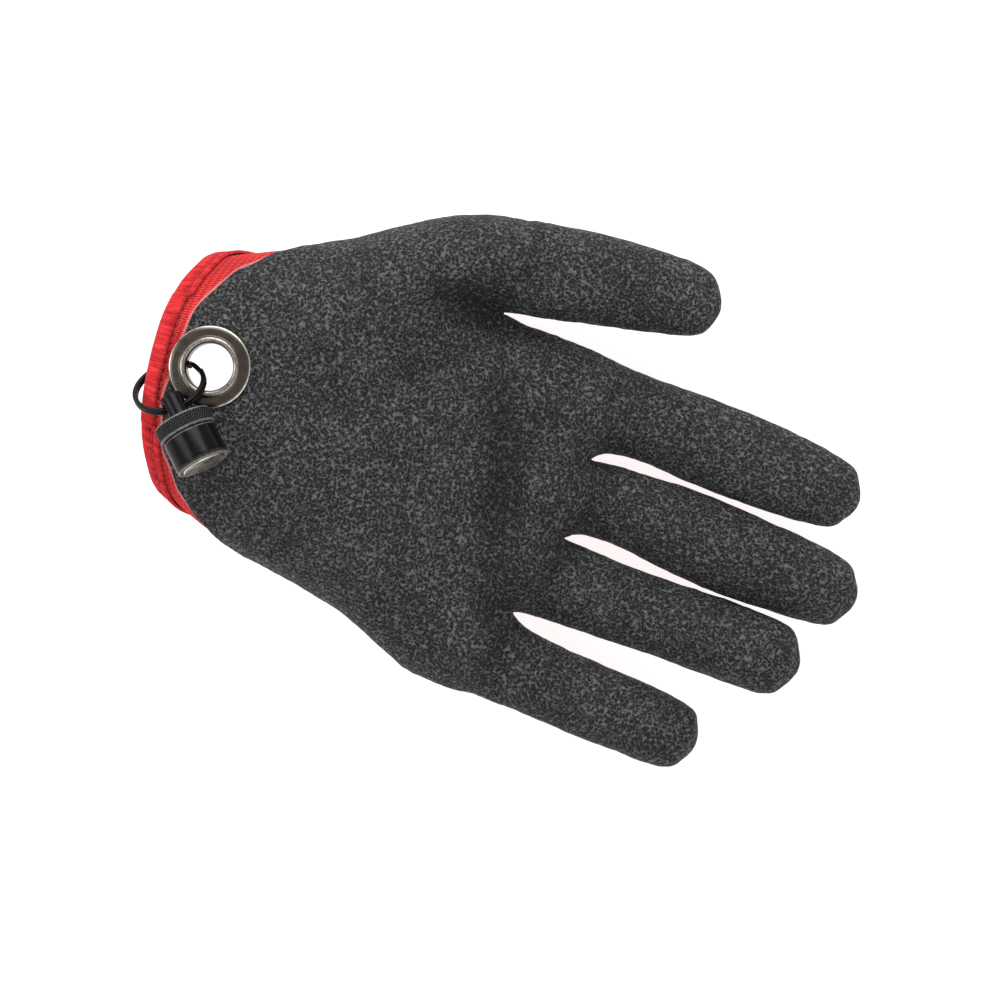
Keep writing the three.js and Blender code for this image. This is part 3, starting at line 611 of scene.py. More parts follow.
def make_mesh(name, verts, polys, loop_uv=None, attributes=None):
    """Mesh object from millimetres in the hand's frame."""
    used = np.unique(np.concatenate([np.asarray(f).ravel() for f in polys]))
    index = np.full(len(verts), -1)
    index[used] = np.arange(len(used))
    co = np.asarray(verts, float)[used] - np.array((SHIFT_X, SHIFT_Y, 0.0))
    mesh = bpy.data.meshes.new(name)
    mesh.vertices.add(len(co))
    mesh.vertices.foreach_set("co", (co / 1000).astype(np.float32).ravel())
    sizes = np.concatenate([np.full(len(f), np.asarray(f).shape[1]) for f in polys])
    loops = np.concatenate([index[np.asarray(f)].ravel() for f in polys])
    starts = np.concatenate([[0], np.cumsum(sizes)[:-1]])
    mesh.loops.add(len(loops))
    mesh.loops.foreach_set("vertex_index", loops.astype(np.int32))
    mesh.polygons.add(len(sizes))
    mesh.polygons.foreach_set("loop_start", starts.astype(np.int32))
    mesh.polygons.foreach_set("loop_total", sizes.astype(np.int32))
    mesh.polygons.foreach_set("use_smooth", np.ones(len(sizes), bool))
    if loop_uv is not None:
        layer = mesh.uv_layers.new(name="knit")
        layer.data.foreach_set("uv", np.asarray(loop_uv, np.float32).ravel())
    for key, values in (attributes or {}).items():
        layer = mesh.attributes.new(key, "FLOAT", "POINT")
        layer.data.foreach_set("value", np.asarray(values, np.float32)[used])
    mesh.update(calc_edges=True)
    mesh.validate()
    made = bpy.data.objects.new(name, mesh)
    link(made)
    return made


def smooth_by_angle(made, degrees):
    mesh = made.data
    mesh.set_sharp_from_angle(angle=math.radians(degrees))


def rim_walls(kept_faces, n):
    """Faces that join a layer's open edges to the same edges of the next layer."""
    a = kept_faces.ravel()
    b = np.roll(kept_faces, -1, axis=1).ravel()
    big = int(max(a.max(), b.max())) + 1
    key = np.minimum(a, b).astype(np.int64) * big + np.maximum(a, b)
    _, which, count = np.unique(key, return_inverse=True, return_counts=True)
    lone = count[which] == 1
    a, b = a[lone], b[lone]
    return np.stack([b, a, a + n, b + n], 1)


# Materials
def new_material(name):
    mat = bpy.data.materials.new(name)
    mat.use_nodes = True
    tree = mat.node_tree
    return mat, tree, tree.nodes["Principled BSDF"]


def node(tree, kind, inputs=None, **settings):
    made = tree.nodes.new(kind)
    for key, value in settings.items():
        setattr(made, key, value)
    for key, value in (inputs or {}).items():
        socket = made.inputs[key]
        if isinstance(value, bpy.types.NodeSocket):
            tree.links.new(value, socket)
        else:
            socket.default_value = value
    return made


def maths(tree, operation, a, b=0.0):
    return node(tree, "ShaderNodeMath", {0: a, 1: b}, operation=operation).outputs[0]


def times(tree, a, b):
    return maths(tree, "MULTIPLY", a, b)


def plus(tree, a, b):
    return maths(tree, "ADD", a, b)


def ramp(tree, value, stops):
    made = node(tree, "ShaderNodeValToRGB", {"Fac": value})
    band = made.color_ramp
    while len(band.elements) < len(stops):
        band.elements.new(0.5)
    for element, (at, colour) in zip(band.elements, stops):
        element.position = at
        element.color = (*colour, 1.0)
    return made.outputs["Color"]


def blend_colour(tree, share, a, b):
    made = node(tree, "ShaderNodeMix", None, data_type="RGBA")
    for socket, value in ((made.inputs[0], share), (made.inputs[6], a), (made.inputs[7], b)):
        if isinstance(value, bpy.types.NodeSocket):
            tree.links.new(value, socket)
        elif socket is made.inputs[0]:
            socket.default_value = value
        else:
            socket.default_value = (*value, 1.0)
    return made.outputs[2]


def scaled(tree, vector, scale):
    return node(tree, "ShaderNodeVectorMath", {0: vector, "Scale": scale}, operation="SCALE").outputs[0]


def millimetres(tree):
    return scaled(tree, node(tree, "ShaderNodeTexCoord").outputs["Object"], 1000.0)


def plug(tree, shader, socket, value):
    tree.links.new(value, shader.inputs[socket])


def noise_of(tree, where, scale, detail=2.0, rough=0.5):
    inputs = {"Vector": where, "Scale": scale, "Detail": detail, "Roughness": rough}
    return node(tree, "ShaderNodeTexNoise", inputs).outputs["Fac"]


def range_of(tree, value, low, high, to_low, to_high, kind="LINEAR"):
    inputs = {0: value, 1: low, 2: high, 3: to_low, 4: to_high}
    return node(tree, "ShaderNodeMapRange", inputs, interpolation_type=kind).outputs[0]


def bumped(tree, height, strength, distance, below=None):
    inputs = {"Height": height, "Strength": strength, "Distance": distance}
    if below is not None:
        inputs["Normal"] = below
    return node(tree, "ShaderNodeBump", inputs).outputs[0]


def swing(tree, value, size):
    """A value between 0 and 1 as a swing of the given size round zero."""
    return times(tree, maths(tree, "SUBTRACT", value, 0.5), size)


def rubber_material():
    """Crinkled rubber: pits under a millimetre apart in a net of ridges, with the colour following the
    relief: painted shade in the pits and painted highlight on the ridges.
    """
    mat, tree, shader = new_material("crinkled_rubber")
    where = millimetres(tree)
    drift = node(tree, "ShaderNodeTexNoise", {"Vector": where, "Scale": 0.7, "Detail": 2.0})
    moved = scaled(tree, drift.outputs["Color"], 1.7)
    bent = node(tree, "ShaderNodeVectorMath", {0: where, 1: moved}, operation="ADD").outputs[0]
    inputs = {"Vector": bent, "Scale": 1.3, "Smoothness": 0.2}
    cells = node(tree, "ShaderNodeTexVoronoi", inputs, feature="SMOOTH_F1").outputs["Distance"]
    ridge = range_of(tree, cells, 0.18, 0.82, 0.0, 1.0)
    crumb = noise_of(tree, bent, 2.1, 3.0, 0.6)
    blot = noise_of(tree, where, 0.05, 3.0, 0.55)
    relief = plus(tree, times(tree, ridge, 0.75), swing(tree, crumb, 0.9))
    # Painted shade: the crease attribute darkens the rubber's colour in the creases.
    crease = node(tree, "ShaderNodeAttribute", None, attribute_name="crease").outputs["Fac"]
    tone = plus(tree, relief, swing(tree, blot, 0.3))
    tone = maths(tree, "SUBTRACT", tone, times(tree, crease, 0.17))
    # Painted shade and painted highlight: the ramp darkens the pits and lightens the ridges, with random
    # blotches of tone.
    colour = ramp(tree, tone, [
        (0.00, (0.0040, 0.0041, 0.0045)),
        (0.20, (0.0090, 0.0091, 0.0096)),
        (0.48, (0.0300, 0.0302, 0.0312)),
        (0.90, (0.1200, 0.1206, 0.1220)),
    ])
    plug(tree, shader, "Base Color", colour)
    rough = range_of(tree, relief, 0.1, 0.8, 0.80, 0.55)
    plug(tree, shader, "Roughness", rough)
    shader.inputs["Specular IOR Level"].default_value = 0.2
    bump = bumped(tree, relief, 0.8, 0.0005)
    grain = noise_of(tree, where, 4.2)
    plug(tree, shader, "Normal", bumped(tree, grain, 0.25, 0.0002, bump))
    return mat


def knit_height(tree, u, v):
    """Height of plain knit: two slanted legs in every wale, a course high each."""
    uf = maths(tree, "FRACT", u)
    legs = maths(tree, "ABSOLUTE", maths(tree, "SINE", times(tree, uf, 2 * math.pi)))
    tilt = times(tree, maths(tree, "ABSOLUTE", maths(tree, "SUBTRACT", uf, 0.5)), 1.3)
    vv = maths(tree, "FRACT", plus(tree, v, tilt))
    bead = maths(tree, "SINE", times(tree, vv, math.pi))
    bead = maths(tree, "POWER", maths(tree, "ABSOLUTE", bead), 0.6)
    return times(tree, maths(tree, "POWER", legs, 0.7), bead)


def cloth_look(shader):
    shader.inputs["Roughness"].default_value = 0.88
    shader.inputs["Specular IOR Level"].default_value = 0.15
    shader.inputs["Sheen Weight"].default_value = 0.06
    shader.inputs["Sheen Roughness"].default_value = 0.5
    shader.inputs["Sheen Tint"].default_value = (1.0, 0.45, 0.4, 1.0)


def knit_material(name, base, painted_shade, painted_bright):
    """Plain knit with the pale line that the dip leaves beside its edge. Its colour follows the stitches'
    height: painted shade between the stitches and painted highlight on their raised yarn.
    """
    mat, tree, shader = new_material(name)
    uv_map = node(tree, "ShaderNodeUVMap", None, uv_map="knit")
    split = node(tree, "ShaderNodeSeparateXYZ", {0: uv_map.outputs[0]})
    height = knit_height(tree, split.outputs[0], split.outputs[1])
    where = millimetres(tree)
    fuzz = noise_of(tree, where, 2.4, 4.0, 0.7)
    blot = noise_of(tree, where, 0.09, 3.0)
    tone = plus(tree, times(tree, height, 0.72), times(tree, fuzz, 0.34))
    tone = plus(tree, tone, swing(tree, blot, 0.35))
    # Painted shade and painted highlight: darker red in the hollows of the knit, lighter red on its raised
    # yarn.
    colour = ramp(tree, tone, [(0.08, painted_shade), (0.5, base), (0.98, painted_bright)])
    edge = node(tree, "ShaderNodeAttribute", None, attribute_name="edge").outputs["Fac"]
    line = range_of(tree, edge, -0.85, -0.45, 0.0, 1.0, "SMOOTHSTEP")
    colour = blend_colour(tree, times(tree, line, 0.7), colour, (0.66, 0.27, 0.26))
    plug(tree, shader, "Base Color", colour)
    cloth_look(shader)
    mixed = plus(tree, height, times(tree, fuzz, 0.35))
    plug(tree, shader, "Normal", bumped(tree, mixed, 0.8, 0.00045))
    return mat


def hem_material():
    """Finer knit than the liner's, drawn into cross wrinkles by its seam. The map
    counts millimetres round the cuff and across the hem."""
    mat, tree, shader = new_material("red_hem_knit")
    uv_map = node(tree, "ShaderNodeUVMap", None, uv_map="knit").outputs[0]
    stretch = node(tree, "ShaderNodeVectorMath", {0: uv_map, 1: (1.0, 0.22, 1.0)}, operation="MULTIPLY")
    drawn = noise_of(tree, stretch.outputs[0], 0.8, 2.5, 0.6)
    split = node(tree, "ShaderNodeSeparateXYZ", {0: uv_map})
    ribs = maths(tree, "SINE", times(tree, split.outputs[0], math.pi / 0.8))
    rows = maths(tree, "SINE", times(tree, split.outputs[1], math.pi / 0.75))
    weave = maths(tree, "ABSOLUTE", times(tree, ribs, rows))
    where = millimetres(tree)
    fuzz = noise_of(tree, where, 2.2, 4.0, 0.7)
    height = plus(tree, times(tree, drawn, 0.95), times(tree, weave, 0.14))
    height = plus(tree, height, times(tree, fuzz, 0.3))
    # Painted shade and painted highlight: darker red in the hollows of the cross wrinkles and the weave,
    # lighter red on their tops.
    colour = ramp(tree, height, [(0.42, RED_PAINTED_SHADE), (0.74, RED), (1.0, RED_PAINTED_HIGHLIGHT)])
    plug(tree, shader, "Base Color", colour)
    cloth_look(shader)
    plug(tree, shader, "Normal", bumped(tree, height, 0.8, 0.0007))
    return mat


def metal_material(name, base, painted_highlight, rough, metallic=1.0, shine=0.5):
    """Cloudy plated metal, with a painted highlight in bright metal colour where the piece's attribute
    marks it.
    """
    mat, tree, shader = new_material(name)
    where = millimetres(tree)
    cloud = noise_of(tree, where, 0.35, 5.0, 0.65)
    dark = tuple(c * 0.75 for c in base)
    light = tuple(min(1.0, c * 1.3) for c in base)
    tone = blend_colour(tree, cloud, dark, light)
    edge = node(tree, "ShaderNodeAttribute", None, attribute_name="painted_highlight").outputs["Fac"]
    highlight_patches = range_of(tree, noise_of(tree, where, 1.1, 4.0, 0.6), 0.35, 0.6, 0.45, 1.0)
    colour = blend_colour(tree, times(tree, edge, highlight_patches), tone, painted_highlight)
    plug(tree, shader, "Base Color", colour)
    shader.inputs["Metallic"].default_value = metallic
    shader.inputs["Specular IOR Level"].default_value = shine
    plug(tree, shader, "Roughness", range_of(tree, cloud, 0.3, 0.7, rough * 0.75, rough * 1.3))
    plug(tree, shader, "Normal", bumped(tree, noise_of(tree, where, 9.0), 0.1, 0.0001))
    return mat


# The knit's red, with a darker and a lighter copy of it for painted shade and painted highlight.
RED = (0.53, 0.022, 0.026)
RED_PAINTED_SHADE = (0.21, 0.005, 0.008)
RED_PAINTED_HIGHLIGHT = (0.78, 0.066, 0.060)
rubber = rubber_material()
knit = knit_material("red_knit", RED, RED_PAINTED_SHADE, RED_PAINTED_HIGHLIGHT)
hem_knit = hem_material()
# The third colour of each metal is its painted highlight.
gunmetal = metal_material("gunmetal", (0.066, 0.056, 0.048), (0.70, 0.64, 0.56), 0.27)
black_metal = metal_material("black_metal", (0.0035, 0.0035, 0.004), (0.14, 0.13, 0.12), 0.24, 0.0, 0.12)
anodised = metal_material("black_anodised", (0.003, 0.003, 0.0035), (0.24, 0.23, 0.22), 0.19, 0.0, 0.1)
silver = metal_material("magnet_face", (0.60, 0.56, 0.50), (0.9, 0.86, 0.8), 0.3)


def finish_piece(made, material, nodes):
    made.data.materials.clear()
    made.data.materials.append(material)
    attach(made, "root")
    if nodes:
        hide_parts(*nodes)


# Knitted liner: its outer side where the rubber leaves it bare, and all of its
# inner side.
dip = dip_field(skin)
hole = EYELET_BORE / 2 + 0.8 + GAP
bore = bore_field(skin, hole)
bare = np.where(bore < 4.0, 4.0 - bore, 3.0 - dip)
kept, partner, pull = trim(faces, bore)
kept &= (bare[faces] > 0).any(1)
body = pulled(skin, partner, pull)
out_normals = pulled(normals, partner, pull)
ripple = 0.16 * wave(skin, 9.0, 1.0) * calm * (skin[:, 2] > 0.9)
outer = body + out_normals * ripple[:, None]
edge_value = np.where(bore < 3.0, -9.0, dip)
lining_bore = bore_field(lining_skin, hole)
lining_kept, partner, pull = trim(lining_faces, lining_bore)
inner = pulled(lining_skin - lining_normals * KNIT, partner, pull)
verts = np.concatenate([outer, inner])
inside_out = lining_faces[lining_kept][:, ::-1] + len(outer)
all_uv = np.concatenate([uv[kept].reshape(-1, 2), lining_uv[lining_kept][:, ::-1].reshape(-1, 2)])
edge_value = np.concatenate([edge_value, np.full(len(inner), -9.0)])
liner = make_mesh("liner", verts, [faces[kept], inside_out], all_uv, {"edge": edge_value})
knit_nodes = ["knit_liner", "index_knit", "middle_knit", "ring_knit", "little_knit", "thumb_knit"]
finish_piece(liner, knit, knit_nodes)

# Rubber coating: crinkled outer skin that thins to its dipped edge.
field = np.minimum(dip, bore)
kept, partner, pull = trim(faces, field)
coat_faces = faces[kept]
body = pulled(skin, partner, pull)
out_normals = pulled(normals, partner, pull)
on_edge = np.where(field > 0, field, 0.0)
edge_dip = np.where(dip > 0, dip, 0.0)
taper = 0.35 + 0.65 * ease(edge_dip / 2.2)
crinkle = 0.16 * wave(skin, 2.3, 2.0, 2) + 0.22 * wave(skin, 6.0, 3.0) + 0.4 * wave(skin, 17.0, 4.0)
crease = folds(skin, crease_rows) * ease((normals[:, 2] - 0.05) / 0.6)
thick = (GAP + COAT) * taper + (crinkle * calm + crease) * ease(on_edge / 1.5)
outer = body + out_normals * thick[:, None]
under = body + out_normals * 0.06
walls = rim_walls(coat_faces, len(skin))
verts = np.concatenate([outer, under])
# Painted shade in the creases: the folds beside the thumb and across the palm, and the fine ones, kept as
# the attribute that darkens the rubber's colour there.
shade_fold_rows = fold_rows[4:6] + crease_rows
crease_shade = np.clip(-folds(skin, shade_fold_rows) / 1.7, 0.0, 1.0) * ease((normals[:, 2] - 0.05) / 0.6)
coat = make_mesh("coating", verts, [coat_faces, walls], None, {"crease": np.tile(crease_shade, 2)})
finish_piece(coat, rubber, ["latex_coating"])

# Hem: a folded edge swept round the cuff, with a roll on the palm side.
edges, which, count = edges_of(faces)
lone = (count[which] == 1)
rim_next = {}
for f, j in zip(*np.nonzero(lone)):
    rim_next[int(faces[f, j])] = int(faces[f, (j + 1) % 4])
start = next(iter(rim_next))
rim = [start]
while rim_next[rim[-1]] != start:
    rim.append(rim_next[rim[-1]])
neighbours = {}
for a, b in edges:
    neighbours.setdefault(int(a), []).append(int(b))
    neighbours.setdefault(int(b), []).append(int(a))
touching = {}
for f, face in enumerate(faces):
    for i in face:
        touching.setdefault(int(i), set()).add(f)
rim_set = set(rim)
chains = []
for i in rim:
    chain = [i]
    step = next(j for j in neighbours[i] if j not in rim_set)
    chain.append(step)
    for _ in range(9):
        last, own = chain[-2], chain[-1]
        options = [j for j in neighbours[own] if not (touching[j] & touching[last])]
        chain.append(options[0])
    chains.append(chain)

rim_mid = skin[rim].mean(0)
hem_points = []
hem_lengths = []
hem_seam = []
hem_out = []
round_length = 0.0


def lengths_along(path):
    return np.concatenate([[0], np.cumsum(norm(np.diff(path, axis=0), axis=1))])


def on_chain(path, dist, s):
    if s <= 0:
        d = path[1] - path[0]
        return path[0] + unit(d) * s
    return np.array([np.interp(s, dist, path[:, k]) for k in range(3)])


for order, (i, chain) in enumerate(zip(rim, chains)):
    if order:
        round_length += norm(skin[i] - skin[rim[order - 1]])
    own = skin[i]
    angle = math.degrees(math.atan2(own[1] - rim_mid[1], own[2] - rim_mid[2]))
    roll, reach, outer_t, inner_t, nose = (float(readings(hem_rows, angle, k)) for k in range(1, 6))
    path_out = skin[chain]
    path_in = skin[chain] - normals[chain] * KNIT
    dist_out = lengths_along(path_out)
    dist_in = lengths_along(path_in)
    nrm = normals[i]
    swell = 0.16 * roll * noise.noise(Vector((round_length * 0.55, 3.1, 0.0)))
    swell += 0.10 * noise.noise(Vector((round_length * 0.16, 7.7, 0.0)))
    top = outer_t + swell
    g = GAP + 0.05
    section = []
    for roll_s, roll_t, flat_s, flat_t in hem_profile:
        s = reach * mix(flat_s, roll_s, roll)
        t = g + top * mix(flat_t, roll_t, roll)
        section.append(on_chain(path_out, dist_out, s) + nrm * t)
    for share_s, share_t in ((0.3, 0.76), (0.72, 0.42)):
        section.append(on_chain(path_out, dist_out, -g - nose * share_s) + nrm * (g + top) * share_t)
    section.append(on_chain(path_out, dist_out, -g - nose) - nrm * KNIT * 0.4)
    for s, t in (
        (-g - nose * 0.85, -g - inner_t * 0.15),
        (-g - nose * 0.4, -g - inner_t * 0.75),
        (reach * 0.3, -g - inner_t),
        (reach * 0.8, -g - inner_t * 0.7),
        (reach, -g * 0.5),
    ):
        section.append(on_chain(path_in, dist_in, s) + nrm * t)
    hem_points.append(section)
    hem_lengths.append(round_length)
    seam = mix(reach * 0.51, reach + 0.35, roll)
    seam_high = mix(g + top * 0.42, 0.12, roll)
    hem_seam.append(on_chain(path_out, dist_out, seam) + nrm * seam_high)
    hem_out.append(nrm)

count_round = len(hem_points)
per = len(hem_points[0])
round_length += norm(skin[rim[0]] - skin[rim[-1]])
hem_lengths.append(round_length)
hem_faces = []
hem_loop_uv = []
for i in range(count_round):
    j = (i + 1) % count_round
    u0, u1 = hem_lengths[i], hem_lengths[i + 1]
    v0 = 0.0
    for k in range(per - 1):
        v1 = v0 + norm(hem_points[i][k + 1] - hem_points[i][k])
        hem_faces.append((i * per + k, i * per + k + 1, j * per + k + 1, j * per + k))
        hem_loop_uv += [(u0, v0), (u0, v1), (u1, v1), (u1, v0)]
        v0 = v1
hem_verts = np.array(hem_points).reshape(-1, 3)
hem = make_mesh("hem", hem_verts, [np.array(hem_faces)], np.array(hem_loop_uv))
finish_piece(hem, hem_knit, ["cuff_hem"])


def yarn(name, strands, radius, material):
    """Short threads as one mesh: each strand is a list of points in millimetres."""
    sides = 6
    verts = []
    polys = []
    ends = []
    for strand in strands:
        pts = np.array(strand, float)
        tangent = np.gradient(pts, axis=0)
        tangent /= np.maximum(norm(tangent, axis=1, keepdims=True), 1e-9)
        first = len(verts)
        up = np.array((0.31, 0.17, 0.93))
        for k, (p, t) in enumerate(zip(pts, tangent)):
            a = np.cross(t, up)
            a /= max(norm(a), 1e-9)
            b = np.cross(t, a)
            share = math.sin(math.pi * (k + 0.6) / (len(pts) + 0.2)) ** 0.35
            for s in range(sides):
                w = 2 * math.pi * s / sides
                verts.append(p + (a * math.cos(w) + b * math.sin(w)) * radius * share)
        for k in range(len(pts) - 1):
            for s in range(sides):
                q = (s + 1) % sides
                c0 = first + k * sides
                c1 = c0 + sides
                polys.append((c0 + s, c0 + q, c1 + q, c1 + s))
        last = first + (len(pts) - 1) * sides
        ends.append(tuple(first + s for s in range(sides))[::-1])
        ends.append(tuple(last + s for s in range(sides)))
    made = make_mesh(name, np.array(verts), [np.array(polys), np.array(ends)])
    finish_piece(made, material, [])


def thread_material():
    mat, tree, shader = new_material("red_thread")
    inputs = {"Vector": millimetres(tree), "Scale": 2.2, "Distortion": 3.0, "Detail": 1.0}
    twist = node(tree, "ShaderNodeTexWave", inputs).outputs["Fac"]
    # Painted shade: the thread is darker in the grooves of its twist and lighter on its ridges.
    colour = ramp(tree, twist, [(0.1, (0.22, 0.006, 0.009)), (0.9, (0.56, 0.03, 0.034))])
    plug(tree, shader, "Base Color", colour)
    shader.inputs["Roughness"].default_value = 0.6
    plug(tree, shader, "Normal", bumped(tree, twist, 0.5, 0.0001))
    return mat


thread = thread_material()
seam_line = np.array(hem_seam)
seam_out = np.array(hem_out)
closed_line = np.concatenate([seam_line, seam_line[:1]])
seam_at = lengths_along(closed_line)


def round_at(table, s):
    closed = np.concatenate([table, table[:1]])
    return np.array([np.interp(s % seam_at[-1], seam_at, closed[:, k]) for k in range(3)])


# A row of stitches in the groove of the flat band and beside the roll.
STITCH = 2.5
stitch_count = round(seam_at[-1] / STITCH)
stitch_rows = []
for k in range(stitch_count):
    strand = []
    for t in (0.05, 0.25, 0.5, 0.75, 0.95):
        s = (k + t * 0.92) * seam_at[-1] / stitch_count
        rise = 0.05 + 0.2 * math.sin(math.pi * t)
        strand.append(round_at(seam_line, s) + round_at(seam_out, s) * rise)
    stitch_rows.append(strand)
yarn("hem_stitches", stitch_rows, 0.24, thread)


# Turned metal pieces
def basis(axis):
    w = unit(np.array(axis, float))
    q = Vector((0, 0, 1)).rotation_difference(Vector(w)).to_matrix()
    return np.array(q)


def turned(name, profile, segments, base, axis, relief=None, painted_highlight=None):
    m = basis(axis)
    verts = []
    painted_bright = []
    rings = []
    for r, h in profile:
        ring = []
        for i in range(segments if r > 1e-6 else 1):
            a = 2 * math.pi * i / segments
            rr = r + (relief(a, h) if relief else 0.0)
            local = np.array((rr * math.cos(a), rr * math.sin(a), h))
            verts.append(m @ local + base)
            painted_bright.append(painted_highlight(rr, h) if painted_highlight else 0.0)
            ring.append(len(verts) - 1)
        rings.append(ring)
    four = []
    three = []
    closed = profile[0][0] > 1e-6
    last = len(profile) if closed else len(profile) - 1
    for k in range(last):
        a, b = rings[k], rings[(k + 1) % len(profile)]
        if len(a) == 1 and len(b) == 1:
            continue
        for i in range(segments):
            j = (i + 1) % segments
            if len(a) == 1:
                three.append((a[0], b[j], b[i]))
            elif len(b) == 1:
                three.append((a[i], a[j], b[0]))
            else:
                four.append((a[i], a[j], b[j], b[i]))
    polys = [np.array(x) for x in (four, three) if x]
    return make_mesh(name, np.array(verts), polys, None, {"painted_highlight": np.array(painted_bright)})


def rounded(corners, radii, steps=4):
    """Profile with its corners rounded: corners and a radius for each."""
    out = []
    n_c = len(corners)
    for i, (p, r) in enumerate(zip(corners, radii)):
        p = np.array(p, float)
        if r <= 0:
            out.append(tuple(p))
            continue
        a = np.array(corners[i - 1], float) - p
        b = np.array(corners[(i + 1) % n_c], float) - p
        ra = min(r, norm(a) / 2)
        rb = min(r, norm(b) / 2)
        a = p + unit(a) * ra
        b = p + unit(b) * rb
        for t in np.linspace(0, 1, steps + 1):
            q = (1 - t) ** 2 * a + 2 * t * (1 - t) * p + t * t * b
            out.append(tuple(q))
    return out


e0 = EYELET_BORE / 2
f0 = COAT + 2 * GAP
outer_r = EYELET_OD / 2
profile = rounded(
    [
        (e0, -KNIT - GAP - 0.8),
        (e0 + 0.75, -KNIT - GAP - 0.8),
        (e0 + 0.75, f0),
        (outer_r, f0),
        (outer_r, f0 + 0.7),
        (outer_r - 0.9, f0 + 1.05),
        (e0 + 1.9, f0 + 1.1),
        (e0 + 1.5, f0 + 1.6),
        (e0 + 0.35, f0 + 1.7),
        (e0, f0 + 0.7),
    ],
    [0.2, 0.2, 0, 0.15, 0.3, 0.5, 0.3, 0.6, 0.6, 0.6],
    6,
)


def eyelet_highlight(r, h):
    """Painted highlight on top of the rolled bead and along the flange's outer edge."""
    bead = float(ease((h - f0 - 1.3) / 0.35))
    edge = float(ease((r - outer_r + 0.55) / 0.4))
    return max(0.35 * bead, 0.8 * edge)


eyelet = turned("eyelet", profile, 160, seat, seat_normal, None, eyelet_highlight)
finish_piece(eyelet, gunmetal, ["grommet_eyelet"])
w0 = -KNIT - GAP - 0.15
profile = rounded(
    [
        (e0 + 0.75 + GAP, w0 - 0.6),
        (outer_r - 0.6, w0 - 0.6),
        (outer_r - 0.6, w0),
        (e0 + 0.75 + GAP, w0),
    ],
    [0.15, 0.2, 0.2, 0.15],
    3,
)
washer = turned("washer", profile, 128, seat, seat_normal)
finish_piece(washer, gunmetal, ["grommet_washer"])

# Split ring
ring_centre = np.array((-9.0, -8.2, SEAT_HIGH + 0.6))
ring_e = unit(np.array((-0.806, -0.592, 0.0)))
ring_flat = unit(np.array((0.592, -0.806, 0.0)))
tilt = math.radians(RING_TILT)
ring_f = ring_flat * math.cos(tilt) + np.array((0, 0, math.sin(tilt)))
ring_axis = unit(np.cross(ring_e, ring_f))


def ring_point(angle, dr, dh):
    a = math.radians(angle)
    r = RING_RADIUS + dr
    return ring_centre + ring_e * r * math.cos(a) + ring_f * r * math.sin(a) + ring_axis * dh


RING_STOP = 14.0
RING_CROSS = 205.0
RING_STEPS = 240
section = rounded(
    [(-0.5, -0.5), (-0.5, 0.5), (0.5, 0.5), (0.5, -0.5)],
    [0.3, 0.3, 0.3, 0.3],
    3,
)
verts = []
for k in range(RING_STEPS + 1):
    turn = mix(RING_STOP, 720 - RING_STOP, k / RING_STEPS)
    step = float(ease((turn - 360 + 12) / 24)) - 0.5
    for r, h in section:
        verts.append(ring_point(turn + RING_CROSS, r * WIRE_WIDE, h * WIRE_HIGH + step * WIRE_PITCH))
per_ring = len(section)
polys = []
for k in range(RING_STEPS):
    for i in range(per_ring):
        j = (i + 1) % per_ring
        a, b = k * per_ring, (k + 1) * per_ring
        polys.append((a + i, a + j, b + j, b + i))
last = RING_STEPS * per_ring
caps = np.array([list(range(per_ring))[::-1], [last + i for i in range(per_ring)]])
split_ring = make_mesh("split_ring_wire", np.array(verts), [np.array(polys), caps])
smooth_by_angle(split_ring, 50)
finish_piece(split_ring, black_metal, ["split_ring"])

# Magnetic release
RELEASE_RISE = math.radians(13.0)
HOLE_TO_END = 3.8
HOLE_TURN = 89.0
SHANK = 7.1
COLLAR = 4.5
CUP = 9.1
HOLE_RADIUS = 1.85
flat = math.cos(RELEASE_RISE)
release_axis = unit(np.array((0.672 * flat, -0.741 * flat, math.sin(RELEASE_RISE))))
cross_hole = ring_point(HOLE_TURN, -0.25, 0)
stem_base = cross_hole - release_axis * HOLE_TO_END
sr, cr = STEM_OD / 2, COLLAR_OD / 2
collar_rows = 24
profile = [(0.0, 0.0)]
profile += rounded([(0.0, 0.0), (sr, 0.0), (sr, SHANK), (cr - 0.2, SHANK)], [0, 0.8, 0.35, 0], 5)[1:-1]
profile += [(cr - 1.2, SHANK), (cr - 0.5, SHANK + 0.12), (cr - 0.2, SHANK + 0.4)]
knurl_low, knurl_high = SHANK + 0.7, SHANK + COLLAR - 0.7
for k in range(collar_rows + 1):
    profile.append((cr - 0.05, mix(knurl_low, knurl_high, k / collar_rows)))
profile += [(cr - 0.2, SHANK + COLLAR - 0.4), (cr - 0.5, SHANK + COLLAR - 0.12), (cr - 1.2, SHANK + COLLAR)]
profile += [(0.0, SHANK + COLLAR)]


def knurl(a, h):
    if not knurl_low - 0.01 <= h <= knurl_high + 0.01:
        return 0.0
    rise = 2 * math.pi * (h - knurl_low) / 1.05
    return -0.24 * (1 - abs(math.cos((a * 56 + rise) / 2) * math.cos((a * 56 - rise) / 2)))


def stem_highlight(r, h):
    """Painted highlight on the collar's two edges and a little on the points of its knurl."""
    low, high = abs(h - SHANK - 0.3), abs(h - SHANK - COLLAR + 0.3)
    ends = 0.7 * float(ease((0.45 - min(low, high)) / 0.3)) if r > cr - 0.8 else 0.0
    tips = 0.3 * float(ease((r - cr + 0.15) / 0.08))
    return max(ends, tips)


stem = turned("release_shank", profile, 384, stem_base, release_axis, knurl, stem_highlight)
smooth_by_angle(stem, 40)


